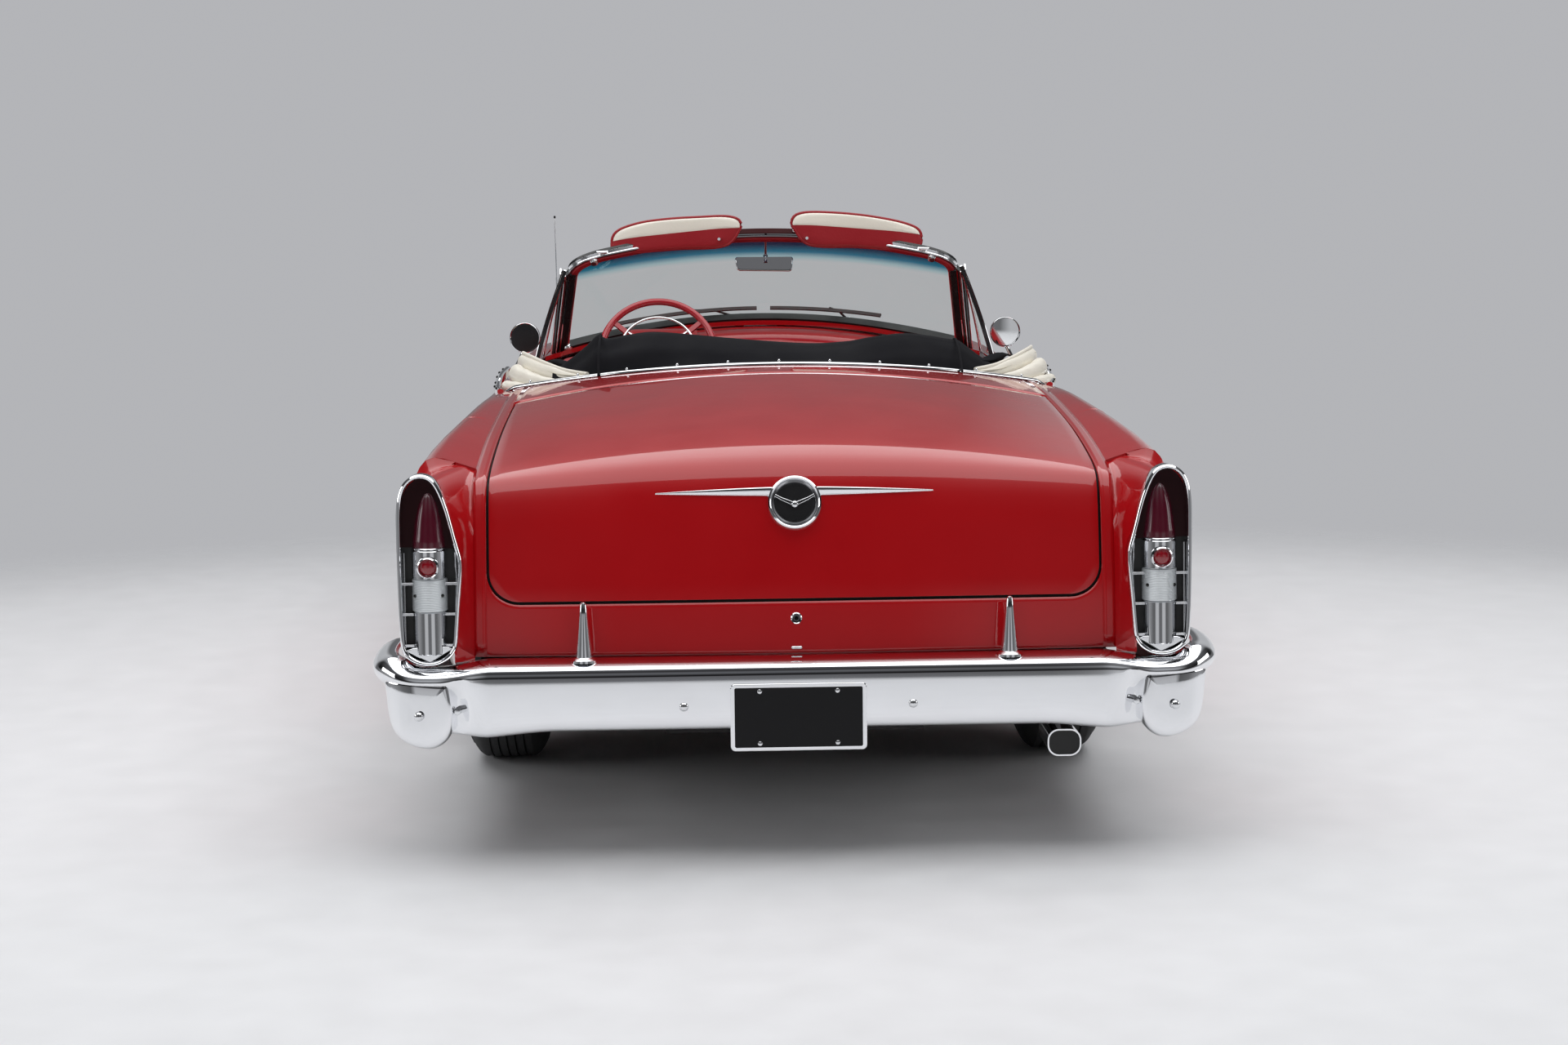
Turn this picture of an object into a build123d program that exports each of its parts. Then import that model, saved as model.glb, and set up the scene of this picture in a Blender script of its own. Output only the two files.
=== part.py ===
"""A 1950s two-door convertible, built as separate body panels, glass, trim, running gear and cabin pieces.

Millimetres. X points to the right, Y forward and Z up. The origin is on the ground, on the centre plane,
halfway along the car.
"""
from build123d import *
import math
import os

# Overall sizes
LENGTH = 5207
WIDTH = 1971
WHEELBASE = 3099
TRACK = 1499
REAR_OVERHANG = 1270
TYRE_RADIUS = 352
TYRE_WIDTH = 215
RIM_RADIUS = 196

# Clearances
FIT_GAP = 0.3  # between pieces that are fastened together
PANEL_GAP = 7  # round a panel that opens
RUN_GAP = 0.5  # between the faces of a hub or a ball joint

# Stations along the car
Y_REAR = -LENGTH / 2
Y_FRONT = LENGTH / 2
Y_REAR_AXLE = Y_REAR + REAR_OVERHANG
Y_FRONT_AXLE = Y_REAR_AXLE + WHEELBASE
Y_TAIL = Y_REAR + 130  # rear end of the rear wings
Y_NOSE = Y_FRONT - 160  # front end of the front wings
Y_DOOR_REAR = -110
Y_HINGE = 1098  # door hinge axis
Y_WALL_REAR = -860  # rear end of the cabin's side wall
Y_BELT = -950  # ends of the belt moulding
BELT_HALF = 790
BELT_Z = 961
BELT_TOP = 1067  # height of the belt moulding on the centre line
Y_WELL = -1300  # rear edge of the folded top's well, on the centre line
Y_COWL = 1138  # front edge of the cowl
Y_LID = -1487  # front edge of the boot lid

# Body side
SKIN = 28  # thickness of a wing
DECK_HALF = 745  # half width of the rear deck between the wings
COWL_HALF = 770  # half width of the cowl, and inner face of a door
DOOR_BOTTOM = 330
DOOR_TAPER = 20  # how far the door's rear edge leans forward on the inside
HINGE_X = 893  # door hinge axis
HINGE_Z = (480, 760)
HINGE_PLATE = 12
HINGE_SWEEP = 62  # radius of the door's rounded front edge
REAR_ARCH = 405
FRONT_ARCH = 415
FLOOR_Z = 330  # underside of the cabin floor
FLOOR_HALF = 740
FLOOR_REAR = 440  # underside of the boot floor
ENGINE_FOOT = 400
SHEET = 12  # thickness of the floor and of the bulkhead
ROCKER_TOP = 322

# Body side sections, from tail to nose: y, lowest z and its x, widest x and its z, shoulder x and z,
# inner top edge x and z
SIDE = [
    (Y_TAIL, 430, 872, 905, 640, 900, 820, DECK_HALF, 893),
    (Y_TAIL + 220, 350, 880, 918, 620, 908, 825, DECK_HALF, 928),
    (Y_TAIL + 570, 312, 885, 928, 600, 912, 836, DECK_HALF, 964),
    (Y_REAR_AXLE, 300, 890, 935, 590, 915, 845, DECK_HALF, 984),
    (Y_BELT, 300, 890, 935, 590, 915, 850, DECK_HALF, 986),
    (Y_DOOR_REAR, 300, 888, 932, 590, 915, 850, COWL_HALF, 948),
    (Y_DOOR_REAR + 650, 300, 888, 932, 595, 915, 862, COWL_HALF, 964),
    (Y_HINGE, 300, 888, 932, 600, 915, 872, COWL_HALF, 980),
    (Y_HINGE + 360, 300, 888, 932, 605, 914, 872, 752, 988),
    (Y_FRONT_AXLE, 300, 885, 930, 610, 912, 870, 725, 986),
    (Y_NOSE - 290, 330, 875, 918, 640, 902, 860, 690, 966),
    (Y_NOSE, 470, 846, 885, 680, 872, 838, 640, 925),
]

# Rear deck sections along its centre line: y, z, slope down to the rear in degrees, drop at the edges
DECK_SKIN = 18
DECK = [
    (-900, 1076, 0, 84),
    (Y_WELL, 1068, 3, 84),
    (-1650, 1044, 5, 78),
    (-2000, 1006, 8, 68),
    (-2250, 966, 13, 62),
    (-2370, 936, 24, 56),
    (-2425, 908, 44, 50),
    (-2456, 862, 66, 44),
    (-2476, 790, 78, 40),
    (-2494, 680, 82, 37),
    (-2507, 590, 85, 36),
    (-2516, 474, 88, 34),
]
LID_HALF = 709
LID_BOTTOM = 603
LID_CORNER = 70
LID_AXIS = (-1507, 1044)  # y and z of the boot lid's hinge

# Bonnet sections: y, z on the centre line, drop at the edges, half width
HOOD_SKIN = 16
HOOD_AXIS = (Y_COWL + 32, 1070)  # y and z of the bonnet's hinge
HOOD = [
    (Y_COWL + 12, 1080, 98, 760),
    (Y_HINGE + 360, 1068, 80, 745),
    (Y_FRONT_AXLE, 1048, 66, 718),
    (Y_NOSE - 290, 1006, 46, 683),
    (Y_NOSE - 90, 958, 36, 648),
    (Y_NOSE, 912, 32, 632),
]

# Windscreen: half width, y and z of the ends, y and z in the middle
GLASS_FOOT = (700, 800, 1010, 1050, 1092)
GLASS_HEAD = (642, 480, 1312, 622, 1392)
GLASS = 6

# Steering wheel
STEER_X = -360
STEER_Y = 256
STEER_Z = 1013
STEER_RADIUS = 200
STEER_TILT = 28  # degrees between the wheel's plane and upright
KINGPIN_X = 690

# Number plates
PLATE_W = 306
PLATE_H = 152
PLATE_HOLES_X = 177.8
PLATE_HOLES_Z = 120.65
PLATE_HOLE = 7


def rows_between(y0, y1):
    """The side sections from y0 to y1, with new ones worked out at both ends."""
    found = [row for row in SIDE if y0 + 1 < row[0] < y1 - 1]
    ends = []
    for y in (y0, y1):
        for low, high in zip(SIDE, SIDE[1:]):
            if low[0] <= y <= high[0]:
                t = (y - low[0]) / (high[0] - low[0])
                ends.append(tuple(a + t * (b - a) for a, b in zip(low, high)))
                break
    return [ends[0]] + found + [ends[1]]


def side_shape(row, depth):
    """The section of one side: a curved band of one thickness, or a solid wall where depth is None."""
    y, z_low, x_low, x_wide, z_wide, x_sh, z_sh, x_in, z_in = row
    with BuildSketch(Plane.XZ.offset(-y)) as shape:
        with BuildLine():
            side = ThreePointArc((x_low, z_low), (x_wide, z_wide), (x_sh, z_sh))
            top = TangentArc(side @ 1, (x_in, z_in), tangent=side % 1)
            if depth is None:
                Line(top @ 1, (x_in, z_low))
                Line((x_in, z_low), side @ 0)
            else:
                inner = ThreePointArc(
                    (x_low - depth, z_low), (x_wide - depth, z_wide), (x_sh - depth, z_sh)
                )
                inner_top = TangentArc(inner @ 1, (x_in, z_in - depth), tangent=inner % 1)
                Line(top @ 1, inner_top @ 1)
                Line(inner @ 0, side @ 0)
        make_face()
    return shape.sketch


def side_panel(y0, y1, depth=SKIN):
    """The right-hand side of the body between two stations."""
    return loft([side_shape(row, depth) for row in rows_between(y0, y1)], ruled=True, mode=Mode.PRIVATE)


def strip_of_trim(y0, y1, height=16, proud=8):
    """A bright strip along the widest line of the body side."""
    shapes = []
    for row in rows_between(y0, y1):
        with BuildSketch(Plane.XZ.offset(-row[0])) as shape:
            with Locations((row[3] + FIT_GAP + proud / 2, row[4])):
                Rectangle(proud, height)
        shapes.append(shape.sketch)
    return loft(shapes, ruled=True, mode=Mode.PRIVATE)


def crowned_shell(planes, half_widths, drops, depth):
    """A skin lofted through crowned strips, one on each plane."""
    shapes = []
    for plane, half, drop in zip(planes, half_widths, drops):
        with BuildSketch(plane) as shape:
            with BuildLine():
                outer = ThreePointArc((-half, -drop), (0, 0), (half, -drop))
                inner = ThreePointArc((-half, -drop - depth), (0, -depth), (half, -drop - depth))
                Line(outer @ 0, inner @ 0)
                Line(outer @ 1, inner @ 1)
            make_face()
        shapes.append(shape.sketch)
    return loft(shapes, ruled=True, mode=Mode.PRIVATE)


def deck_shell():
    """The crowned rear deck, from the well down to the rear bumper."""
    planes = []
    for y, z, slope, _ in DECK:
        a = math.radians(slope)
        planes.append(Plane(origin=(0, y, z), x_dir=(1, 0, 0), z_dir=(0, -math.cos(a), -math.sin(a))))
    halves = [DECK_HALF - FIT_GAP for _ in DECK]
    drops = [row[3] for row in DECK]
    top = crowned_shell(planes[:6], halves[:6], drops[:6], DECK_SKIN)
    back = crowned_shell(planes[5:], halves[5:], drops[5:], DECK_SKIN)
    return top + back


def hood_shell():
    """The crowned bonnet, between the front wings."""
    planes = [Plane(origin=(0, row[0], row[1]), x_dir=(1, 0, 0), z_dir=(0, -1, 0)) for row in HOOD]
    return crowned_shell(planes, [row[3] for row in HOOD], [row[2] for row in HOOD], HOOD_SKIN)


def arc_plane(end_y, end_z, mid_y, mid_z):
    """The plane of an arc across the car, with its Y from the chord to the middle of the arc."""
    rise = math.hypot(mid_y - end_y, mid_z - end_z)
    ahead = (mid_y - end_y) / rise
    up = (mid_z - end_z) / rise
    return Plane(origin=(0, end_y, end_z), x_dir=(1, 0, 0), z_dir=(0, -up, ahead)), rise


def arc_band(half, end_y, end_z, mid_y, mid_z, outward, inward):
    """A flat band along an arc across the car."""
    plane, rise = arc_plane(end_y, end_z, mid_y, mid_z)
    with BuildSketch(plane) as shape:
        with BuildLine():
            outer = ThreePointArc((-half - outward, 0), (0, rise + outward), (half + outward, 0))
            inner = ThreePointArc((-half + inward, 0), (0, rise - inward), (half - inward, 0))
            Line(outer @ 0, inner @ 0)
            Line(outer @ 1, inner @ 1)
        make_face()
    return shape.sketch


def save(builder, name):
    """Name a piece and write its file."""
    builder.part.label = name
    export_step(builder.part, "parts/" + name + ".step")


# Distance behind the axis, and height over it, round the outline of a hinge ear
HINGE_EAR = ((58, 0), (40, 0), (36, -14), (10, -14), (6, -2), (-6, -2), (-6, -20), (58, -20))


def lid_hinge(y, z, ahead):
    """Two ears under a lid that reach to its hinge axis; ahead is the way they reach."""
    with BuildPart() as ears:
        with BuildSketch(Plane.YZ.offset(60)):
            Polygon(
                *[(y - ahead * dy, z + dz) for dy, dz in HINGE_EAR],
                align=None,
            )
            with Locations((y, z)):
                Circle(6)
        extrude(amount=30)
        mirror(about=Plane.YZ)
    return ears.part


def lid_pocket(y, z, ahead):
    """The pockets in a lid that clear the ears."""
    with BuildPart() as pockets:
        with BuildSketch(Plane.YZ.offset(58)):
            with Locations((y, z)):
                Circle(6.5)
            with Locations((y - ahead * 12, z - 12.5)):
                Rectangle(37, 38)
        extrude(amount=34)
        mirror(about=Plane.YZ)
    return pockets.part


os.makedirs("parts", exist_ok=True)

# Rear wings, with the cabin's side wall in front of each wheel
with BuildPart() as rear_quarters:
    add(side_panel(Y_TAIL, Y_WALL_REAR))
    add(side_panel(Y_WALL_REAR, Y_DOOR_REAR - PANEL_GAP, depth=None))
    with BuildSketch(Plane.YZ.offset(COWL_HALF - 60)):
        with Locations((Y_REAR_AXLE, TYRE_RADIUS)):
            Circle(REAR_ARCH)
    extrude(amount=400, mode=Mode.SUBTRACT)
    with Locations((850, (Y_WALL_REAR + Y_DOOR_REAR) / 2, ROCKER_TOP + FIT_GAP - 100)):
        Box(400, 900, 200, mode=Mode.SUBTRACT)
    mirror(about=Plane.YZ)
save(rear_quarters, "rear_quarters")

# Front wings, with the hinge pillar behind each
PILLAR_DEPTH = 150
with BuildPart() as front_fenders:
    add(side_panel(Y_HINGE + PANEL_GAP, Y_HINGE + PILLAR_DEPTH, depth=None))
    add(side_panel(Y_HINGE + PILLAR_DEPTH, Y_NOSE))
    with BuildSketch(Plane.XY):
        with Locations((HINGE_X, Y_HINGE)):
            Circle(HINGE_SWEEP + PANEL_GAP)
    extrude(amount=1200, mode=Mode.SUBTRACT)
    for z in HINGE_Z:
        with BuildSketch(Plane.XY.offset(z - HINGE_PLATE / 2)):
            with Locations((HINGE_X - 48, Y_HINGE)):
                Rectangle(96, 24)
            with Locations((HINGE_X, Y_HINGE)):
                Circle(12)
                Circle(6 + FIT_GAP, mode=Mode.SUBTRACT)
        extrude(amount=HINGE_PLATE)
    with BuildSketch(Plane.YZ.offset(COWL_HALF - 160)):
        with Locations((Y_FRONT_AXLE, TYRE_RADIUS)):
            Circle(FRONT_ARCH)
    extrude(amount=500, mode=Mode.SUBTRACT)
    with Locations((850, Y_HINGE + 150, ROCKER_TOP + FIT_GAP - 100)):
        Box(400, 400, 200, mode=Mode.SUBTRACT)
    mirror(about=Plane.YZ)
save(front_fenders, "front_fenders")

# Doors, rounded about the hinge at the front
for side, name in ((1, "door_right"), (-1, "door_left")):
    with BuildPart() as door:
        add(side_panel(Y_DOOR_REAR, Y_HINGE, depth=None))
        nose = side_panel(Y_HINGE, Y_HINGE + HINGE_SWEEP, depth=None)
        post = Pos(HINGE_X, Y_HINGE, 600) * Cylinder(HINGE_SWEEP, 1200, mode=Mode.PRIVATE)
        add(nose & post)
        with Locations((850, 500, DOOR_BOTTOM - 100)):
            Box(300, 2000, 200, mode=Mode.SUBTRACT)
        for z in HINGE_Z:
            with Locations((HINGE_X - 55, Y_HINGE + 30, z)):
                Box(138, 92, HINGE_PLATE + 4, mode=Mode.SUBTRACT)
            with Locations((HINGE_X, Y_HINGE, z)):
                Cylinder(6, HINGE_PLATE + 6)
        with BuildSketch(Plane.XY):
            Polygon(
                (COWL_HALF - 5, Y_DOOR_REAR - 5),
                (940, Y_DOOR_REAR - 5),
                (940, Y_DOOR_REAR),
                (COWL_HALF - 5, Y_DOOR_REAR + DOOR_TAPER),
                align=None,
            )
        extrude(amount=1200, mode=Mode.SUBTRACT)
        if side < 0:
            mirror(about=Plane.YZ, mode=Mode.REPLACE)
    save(door, name)

# Rear deck, cut back to the folded top's well and round the boot lid
with BuildPart() as lid_outline:
    with BuildSketch(Plane.XZ.offset(-Y_LID)) as lid_front:
        with Locations((0, (LID_BOTTOM + 1200) / 2)):
            RectangleRounded(2 * LID_HALF, 1200 - LID_BOTTOM, LID_CORNER)
    extrude(amount=1200)
with BuildPart() as lid_gap:
    with BuildSketch(Plane.XZ.offset(-Y_LID - PANEL_GAP - 1)):
        with Locations((0, (LID_BOTTOM + 1200) / 2)):
            RectangleRounded(
                2 * (LID_HALF + PANEL_GAP), 1200 - LID_BOTTOM + 2 * PANEL_GAP, LID_CORNER + PANEL_GAP
            )
    extrude(amount=1300)
deck = deck_shell()
belt_plane, belt_rise = arc_plane(Y_BELT, BELT_Z, Y_WELL, BELT_TOP)
with BuildPart() as rear_deck_panel:
    add(deck)
    add(lid_gap.part, mode=Mode.SUBTRACT)
    with BuildSketch(belt_plane):
        with BuildLine():
            edge = ThreePointArc((-BELT_HALF, 0), (0, belt_rise), (BELT_HALF, 0))
            Polyline(edge @ 1, (BELT_HALF, -200), (-BELT_HALF, -200), edge @ 0)
        make_face()
    extrude(amount=200, both=True, mode=Mode.SUBTRACT)
    add(lid_hinge(*LID_AXIS, -1))
save(rear_deck_panel, "rear_deck_panel")

with BuildPart() as trunk_lid:
    add(deck & lid_outline.part)
    add(lid_pocket(*LID_AXIS, -1), mode=Mode.SUBTRACT)
save(trunk_lid, "trunk_lid")

with BuildPart() as hood:
    add(hood_shell())
    add(lid_pocket(*HOOD_AXIS, 1), mode=Mode.SUBTRACT)
save(hood, "hood")

# Cowl between the windscreen and the bonnet
with BuildPart() as cowl_panel:
    cowl_planes = []
    for y, z in ((700, 1084), (Y_COWL, 1082)):
        cowl_planes.append(Plane(origin=(0, y, z), x_dir=(1, 0, 0), z_dir=(0, -1, 0)))
    add(crowned_shell(cowl_planes, (762, 762), (104, 101), 16))
    with BuildSketch(Plane.XY.offset(900)):
        with BuildLine():
            foot = ThreePointArc((-702, 730), (0, 1000), (702, 730))
            Polyline(foot @ 1, (702, 690), (-702, 690), foot @ 0)
        make_face()
    extrude(amount=300, mode=Mode.SUBTRACT)
    add(lid_hinge(*HOOD_AXIS, 1))
    for side in (-1, 1):
        with Locations((side * (COWL_HALF - 2 - FIT_GAP - 10), (Y_HINGE + PANEL_GAP + Y_COWL) / 2, 972)):
            Box(20, Y_COWL - Y_HINGE - PANEL_GAP, 14)
save(cowl_panel, "cowl_panel")

# Windscreen
foot_plane, foot_rise = arc_plane(*GLASS_FOOT[1:])
with BuildPart() as windshield_glass:
    loft([arc_band(*GLASS_FOOT, 0, GLASS), arc_band(*GLASS_HEAD, 0, GLASS)], ruled=True)
save(windshield_glass, "windshield_glass")

with BuildPart() as windshield_frame:
    head = arc_band(*GLASS_HEAD, 14, 22)
    head_plane, head_rise = arc_plane(*GLASS_HEAD[1:])
    extrude(head, amount=32, dir=head_plane.z_dir)
    base = arc_band(*GLASS_FOOT, 16, 12)
    extrude(base, amount=5, dir=foot_plane.z_dir * -1)
    for side in (-1, 1):
        with BuildSketch(Plane.XY.offset(GLASS_FOOT[2] - 5)):
            with Locations((side * (GLASS_FOOT[0] + 3), GLASS_FOOT[1] - 23)):
                Rectangle(34, 50)
        with BuildSketch(Plane.XY.offset(GLASS_HEAD[2] + 12)):
            with Locations((side * (GLASS_HEAD[0] + 3), GLASS_HEAD[1] - 21)):
                Rectangle(30, 50)
        loft(ruled=True)
    with Locations((0, GLASS_HEAD[3] - 70, GLASS_HEAD[4] - 75)):
        Box(200, 16, 56)
    with BuildSketch(Plane.YZ.offset(-8)):
        Polygon(
            (GLASS_HEAD[3] - 70, 1330), (GLASS_HEAD[3] - 60, 1330), (GLASS_HEAD[3] - 8, 1392),
            (GLASS_HEAD[3] - 24, 1398), align=None,
        )
    extrude(amount=16)
    add(windshield_glass.part, mode=Mode.SUBTRACT)
save(windshield_frame, "windshield_frame")

# Sun visors, folded down behind the header
with BuildPart() as sun_visors:
    for side in (-1, 1):
        with BuildSketch(Plane.YZ.offset(side * 315 - 220)):
            Polygon((452, 1464), (466, 1466), (486, 1338), (472, 1336), align=None)
        extrude(amount=440)
        with BuildSketch(Plane.YZ.offset(side * 315 - 8)):
            Polygon((470, 1350), (470, 1362), (580, 1378), (580, 1366), align=None)
        extrude(amount=16)
    add(windshield_frame.part, mode=Mode.SUBTRACT)
save(sun_visors, "sun_visors")

# Dashboard, with its instrument pod
with BuildPart() as dashboard:
    with BuildSketch(Plane.XZ.offset(-1130 + FIT_GAP)):
        with BuildLine():
            pad = ThreePointArc((-738, 944), (0, 1050), (738, 944))
            Polyline(pad @ 1, (738, 790), (-738, 790), pad @ 0)
        make_face()
    extrude(amount=400)
    with BuildSketch(Plane.YZ.offset(-800)):
        Polygon((720, 780), (800, 780), (730, 880), (720, 880), align=None)
        Polygon((900, 780), (1140, 780), (1140, 890), align=None)
    extrude(amount=1600, mode=Mode.SUBTRACT)
    with BuildSketch(Plane.YZ.offset(STEER_X - 130)):
        Polygon((862, 960), (858, 1062), (800, 1068), (720, 1050), (712, 960), align=None)
    extrude(amount=260)
save(dashboard, "dashboard")

# Floor with the bulkhead, heel board and boot floor, and the rear wheel housings
HOUSING = 425
HOUSING_X = 578
with BuildPart() as floor_pan:
    with BuildSketch(Plane.YZ):
        Polygon(
            (1142, 950), (1142, 620), (1010, FLOOR_Z), (-712, FLOOR_Z), (-772, 555), (-1100, 600),
            (-1752, 600), (-1842, FLOOR_REAR), (-2440, FLOOR_REAR), (-2440, FLOOR_REAR + SHEET),
            (-1850, FLOOR_REAR + SHEET), (-1760, 600 + SHEET), (-1100, 600 + SHEET), (-764, 555 + SHEET),
            (-700, FLOOR_Z + SHEET), (1004, FLOOR_Z + SHEET), (1130, 622), (1130, 950), align=None,
        )
    extrude(amount=FLOOR_HALF)
    with BuildSketch(Plane.YZ.offset(KINGPIN_X - 240)):
        with Locations((Y_FRONT_AXLE, TYRE_RADIUS)):
            Circle(FRONT_ARCH + 20)
    extrude(amount=400, mode=Mode.SUBTRACT)
    with Locations((HOUSING_X + 100, Y_REAR_AXLE, 500)):
        Box(200, 2 * HOUSING + 2, 600, mode=Mode.SUBTRACT)
    mirror(about=Plane.YZ)
save(floor_pan, "floor_pan")

with BuildPart() as wheel_housings:
    with Locations(Location((HOUSING_X + FIT_GAP + 141, Y_REAR_AXLE, TYRE_RADIUS), (0, 90, 0))):
        Cylinder(HOUSING, 282)
    with Locations(Location((HOUSING_X + FIT_GAP + 12 + 150, Y_REAR_AXLE, TYRE_RADIUS), (0, 90, 0))):
        Cylinder(HOUSING - SHEET, 300, mode=Mode.SUBTRACT)
    with Locations(Location((HOUSING_X, Y_REAR_AXLE, TYRE_RADIUS), (0, 90, 0))):
        Cylinder(165, 100, mode=Mode.SUBTRACT)
    with Locations((HOUSING_X + 140, Y_REAR_AXLE, 100)):
        Box(400, 900, 540, mode=Mode.SUBTRACT)
    mirror(about=Plane.YZ)
save(wheel_housings, "wheel_housings")

# Inner wings beside the engine
with BuildPart() as inner_wings:
    with Locations((440, 1772.75, 690)):
        Box(12, 1260.9, 340)
    with BuildSketch(Plane.YZ.offset(446)):
        with Locations((Y_FRONT_AXLE, TYRE_RADIUS)):
            Circle(HOUSING + 20)
            Circle(HOUSING + 8, mode=Mode.SUBTRACT)
    extrude(amount=400)
    with Locations((640, Y_FRONT_AXLE, 150)):
        Box(440, 1000, 700, mode=Mode.SUBTRACT)
    mirror(about=Plane.YZ)
save(inner_wings, "inner_wings")

# Frame rails, raised over the rear axle and at the front
with BuildPart() as chassis_frame:
    with BuildSketch(Plane.YZ.offset(330)):
        Polygon(
            (-2430, 360), (-1850, 360), (-1700, 470), (-1050, 470), (-850, 240), (1150, 240), (1400, 400),
            (2350, 400), (2350, 480), (1360, 480), (1110, FLOOR_Z), (-800, FLOOR_Z), (-1000, 550),
            (-1700, 550), (-1830, 430), (-2430, 430), align=None,
        )
    extrude(amount=70)
    with Locations((452, -765, 319.5)):
        Box(116, 50, 20.4)
    with Locations((452, -1905, 354.5)):
        Box(116, 50, 90.4)
    mirror(about=Plane.YZ)
    for y, z in ((-2330, 400), (-1660, 510), (-600, 285), (500, 285), (2300, 440)):
        with Locations((0, y, z)):
            Box(660, 60, 60)
save(chassis_frame, "chassis_frame")

with BuildPart() as rocker_panels:
    with Locations((831, 210, 272)):
        Box(90, 2220, 2 * (ROCKER_TOP - 272))
    with Locations((750, 210, 272)):
        Box(72, 2220, 40)
    with Locations((729, 160, (ROCKER_TOP + FLOOR_Z) / 2 - 20)):
        Box(30, 1640, FLOOR_Z - ROCKER_TOP + 40)
    mirror(about=Plane.YZ)
save(rocker_panels, "rocker_panels")

# Nose between the wings, and the grille in it
GRILLE_HALF = 560
with BuildPart() as nose_panel:
    with BuildSketch(Plane.XZ.offset(-Y_NOSE)):
        with BuildLine():
            crown = ThreePointArc((-638, 848), (0, 884), (638, 848))
            Polyline(crown @ 1, (638, 480), (-638, 480), crown @ 0)
        make_face()
        with Locations((0, 630)):
            RectangleRounded(2 * GRILLE_HALF, 240, 80, mode=Mode.SUBTRACT)
    extrude(amount=40)
save(nose_panel, "nose_panel")

with BuildPart() as front_grille:
    with BuildSketch(Plane.XZ.offset(-Y_NOSE - 14)):
        with Locations((0, 630)):
            RectangleRounded(2 * GRILLE_HALF + 40, 280, 100)
            RectangleRounded(2 * GRILLE_HALF - 30, 210, 65, mode=Mode.SUBTRACT)
    extrude(amount=13)
    for z in (560, 595, 630, 665, 700):
        with Locations((0, Y_NOSE - 2, z)):
            Box(2 * GRILLE_HALF - 24, 20, 9)
    with Locations((0, Y_NOSE + 2, 630)):
        Box(60, 24, 216)
save(front_grille, "front_grille")

with BuildPart() as headlamps:
    for side in (-1, 1):
        with Locations(Location((side * 756, Y_NOSE + 22, 770), (90, 0, 0))):
            Cylinder(112, 43)
            with Locations((0, 0, -31)):
                Cylinder(88, 20)
        with Locations((side * 756, Y_NOSE + 22, 590)):
            Box(190, 43, 90)
save(headlamps, "headlamps")


WING_BEND = 105
WING_THICK = 14
FLANGE = 76


def bumper_bar(end, face_y, sign, tip_y, top, foot):
    """A bumper blade across the car: a rolled plate, and ends that bend round along the sides and taper."""
    with BuildPart() as bar:
        with BuildSketch(Plane.YZ.offset(-end)):
            with BuildLine():
                flange = Line((face_y - sign * FLANGE, top - 2), (face_y - sign * 30, top - 8))
                roll = TangentArc((face_y, top - 70), flange @ 1, tangent=(0, 1))
                face = Line(roll @ 0, (face_y - sign * 10, foot))
                lip = Line(face @ 1, (face_y - sign * (10 + WING_THICK), foot))
                back = Line(lip @ 1, (face_y - sign * WING_THICK, top - 74))
                inner = TangentArc(back @ 1, (face_y - sign * 36, top - 22), tangent=(0, 1))
                under = Line(inner @ 1, (face_y - sign * FLANGE, top - 16))
                Line(under @ 1, flange @ 0)
            make_face()
        extrude(amount=2 * end)
        with BuildSketch(Plane.XY.offset(foot)):
            with BuildLine():
                outer = FilletPolyline(
                    (end - 2, face_y - sign * 4), (WIDTH / 2, face_y - sign * 4), (WIDTH / 2, tip_y),
                    radius=WING_BEND,
                )
                inner = FilletPolyline(
                    (end - 2, face_y - sign * (4 + WING_THICK)),
                    (WIDTH / 2 - WING_THICK, face_y - sign * (4 + WING_THICK)),
                    (WIDTH / 2 - WING_THICK, tip_y), radius=WING_BEND - WING_THICK,
                )
                Line(outer @ 0, inner @ 0)
                Line(outer @ 1, inner @ 1)
            make_face()
            mirror(about=Plane.YZ)
        extrude(amount=top - foot - 20)
        with BuildSketch(Plane.YZ.offset(-WIDTH)):
            Polygon(
                (face_y - sign * 30, foot - 1), (tip_y - sign, foot - 1), (tip_y - sign, top - 70),
                (face_y - sign * 110, foot + 60), align=None,
            )
            Polygon((face_y - sign * 60, top), (tip_y - sign, top), (tip_y - sign, top - 44), align=None)
        extrude(amount=2 * WIDTH, mode=Mode.SUBTRACT)
        with BuildSketch(Plane.YZ.offset(-end)):
            with BuildLine():
                flange = Line((face_y - sign * FLANGE, top - 2), (face_y - sign * 30, top - 8))
                Polyline(
                    flange @ 1, (face_y - sign * 36, top - 22), (face_y - sign * FLANGE, top - 16), flange @ 0
                )
            make_face()
        extrude(amount=2 * end)
    return bar.part


# Rounded pods at the ends of the rear bumper
REAR_BUMPER_TOP = 472
REAR_BUMPER_FOOT = 294
POD_X = 866
POD_HALF = 78
POD_FOOT = 268
POD_REACH = 90
POD_ROUND = 14
GUARD_X = 489
GUARD_Y = -2556
GUARD_TOP = 600
GUARD_TIP = 9
with BuildPart() as bumper_pods:
    with BuildSketch(Plane.XZ.offset(-Y_REAR - 108)):
        with BuildLine():
            pod_top = Polyline(
                (POD_X - POD_HALF, 330), (POD_X - POD_HALF, REAR_BUMPER_TOP - 40),
                (POD_X + POD_HALF, REAR_BUMPER_TOP - 40), (POD_X + POD_HALF, 330),
            )
            ThreePointArc(pod_top @ 1, (POD_X, POD_FOOT), pod_top @ 0)
        make_face()
    extrude(amount=POD_REACH)
    fillet(bumper_pods.faces().sort_by(Axis.Y)[0].edges(), POD_ROUND)
    mirror(about=Plane.YZ)

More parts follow.
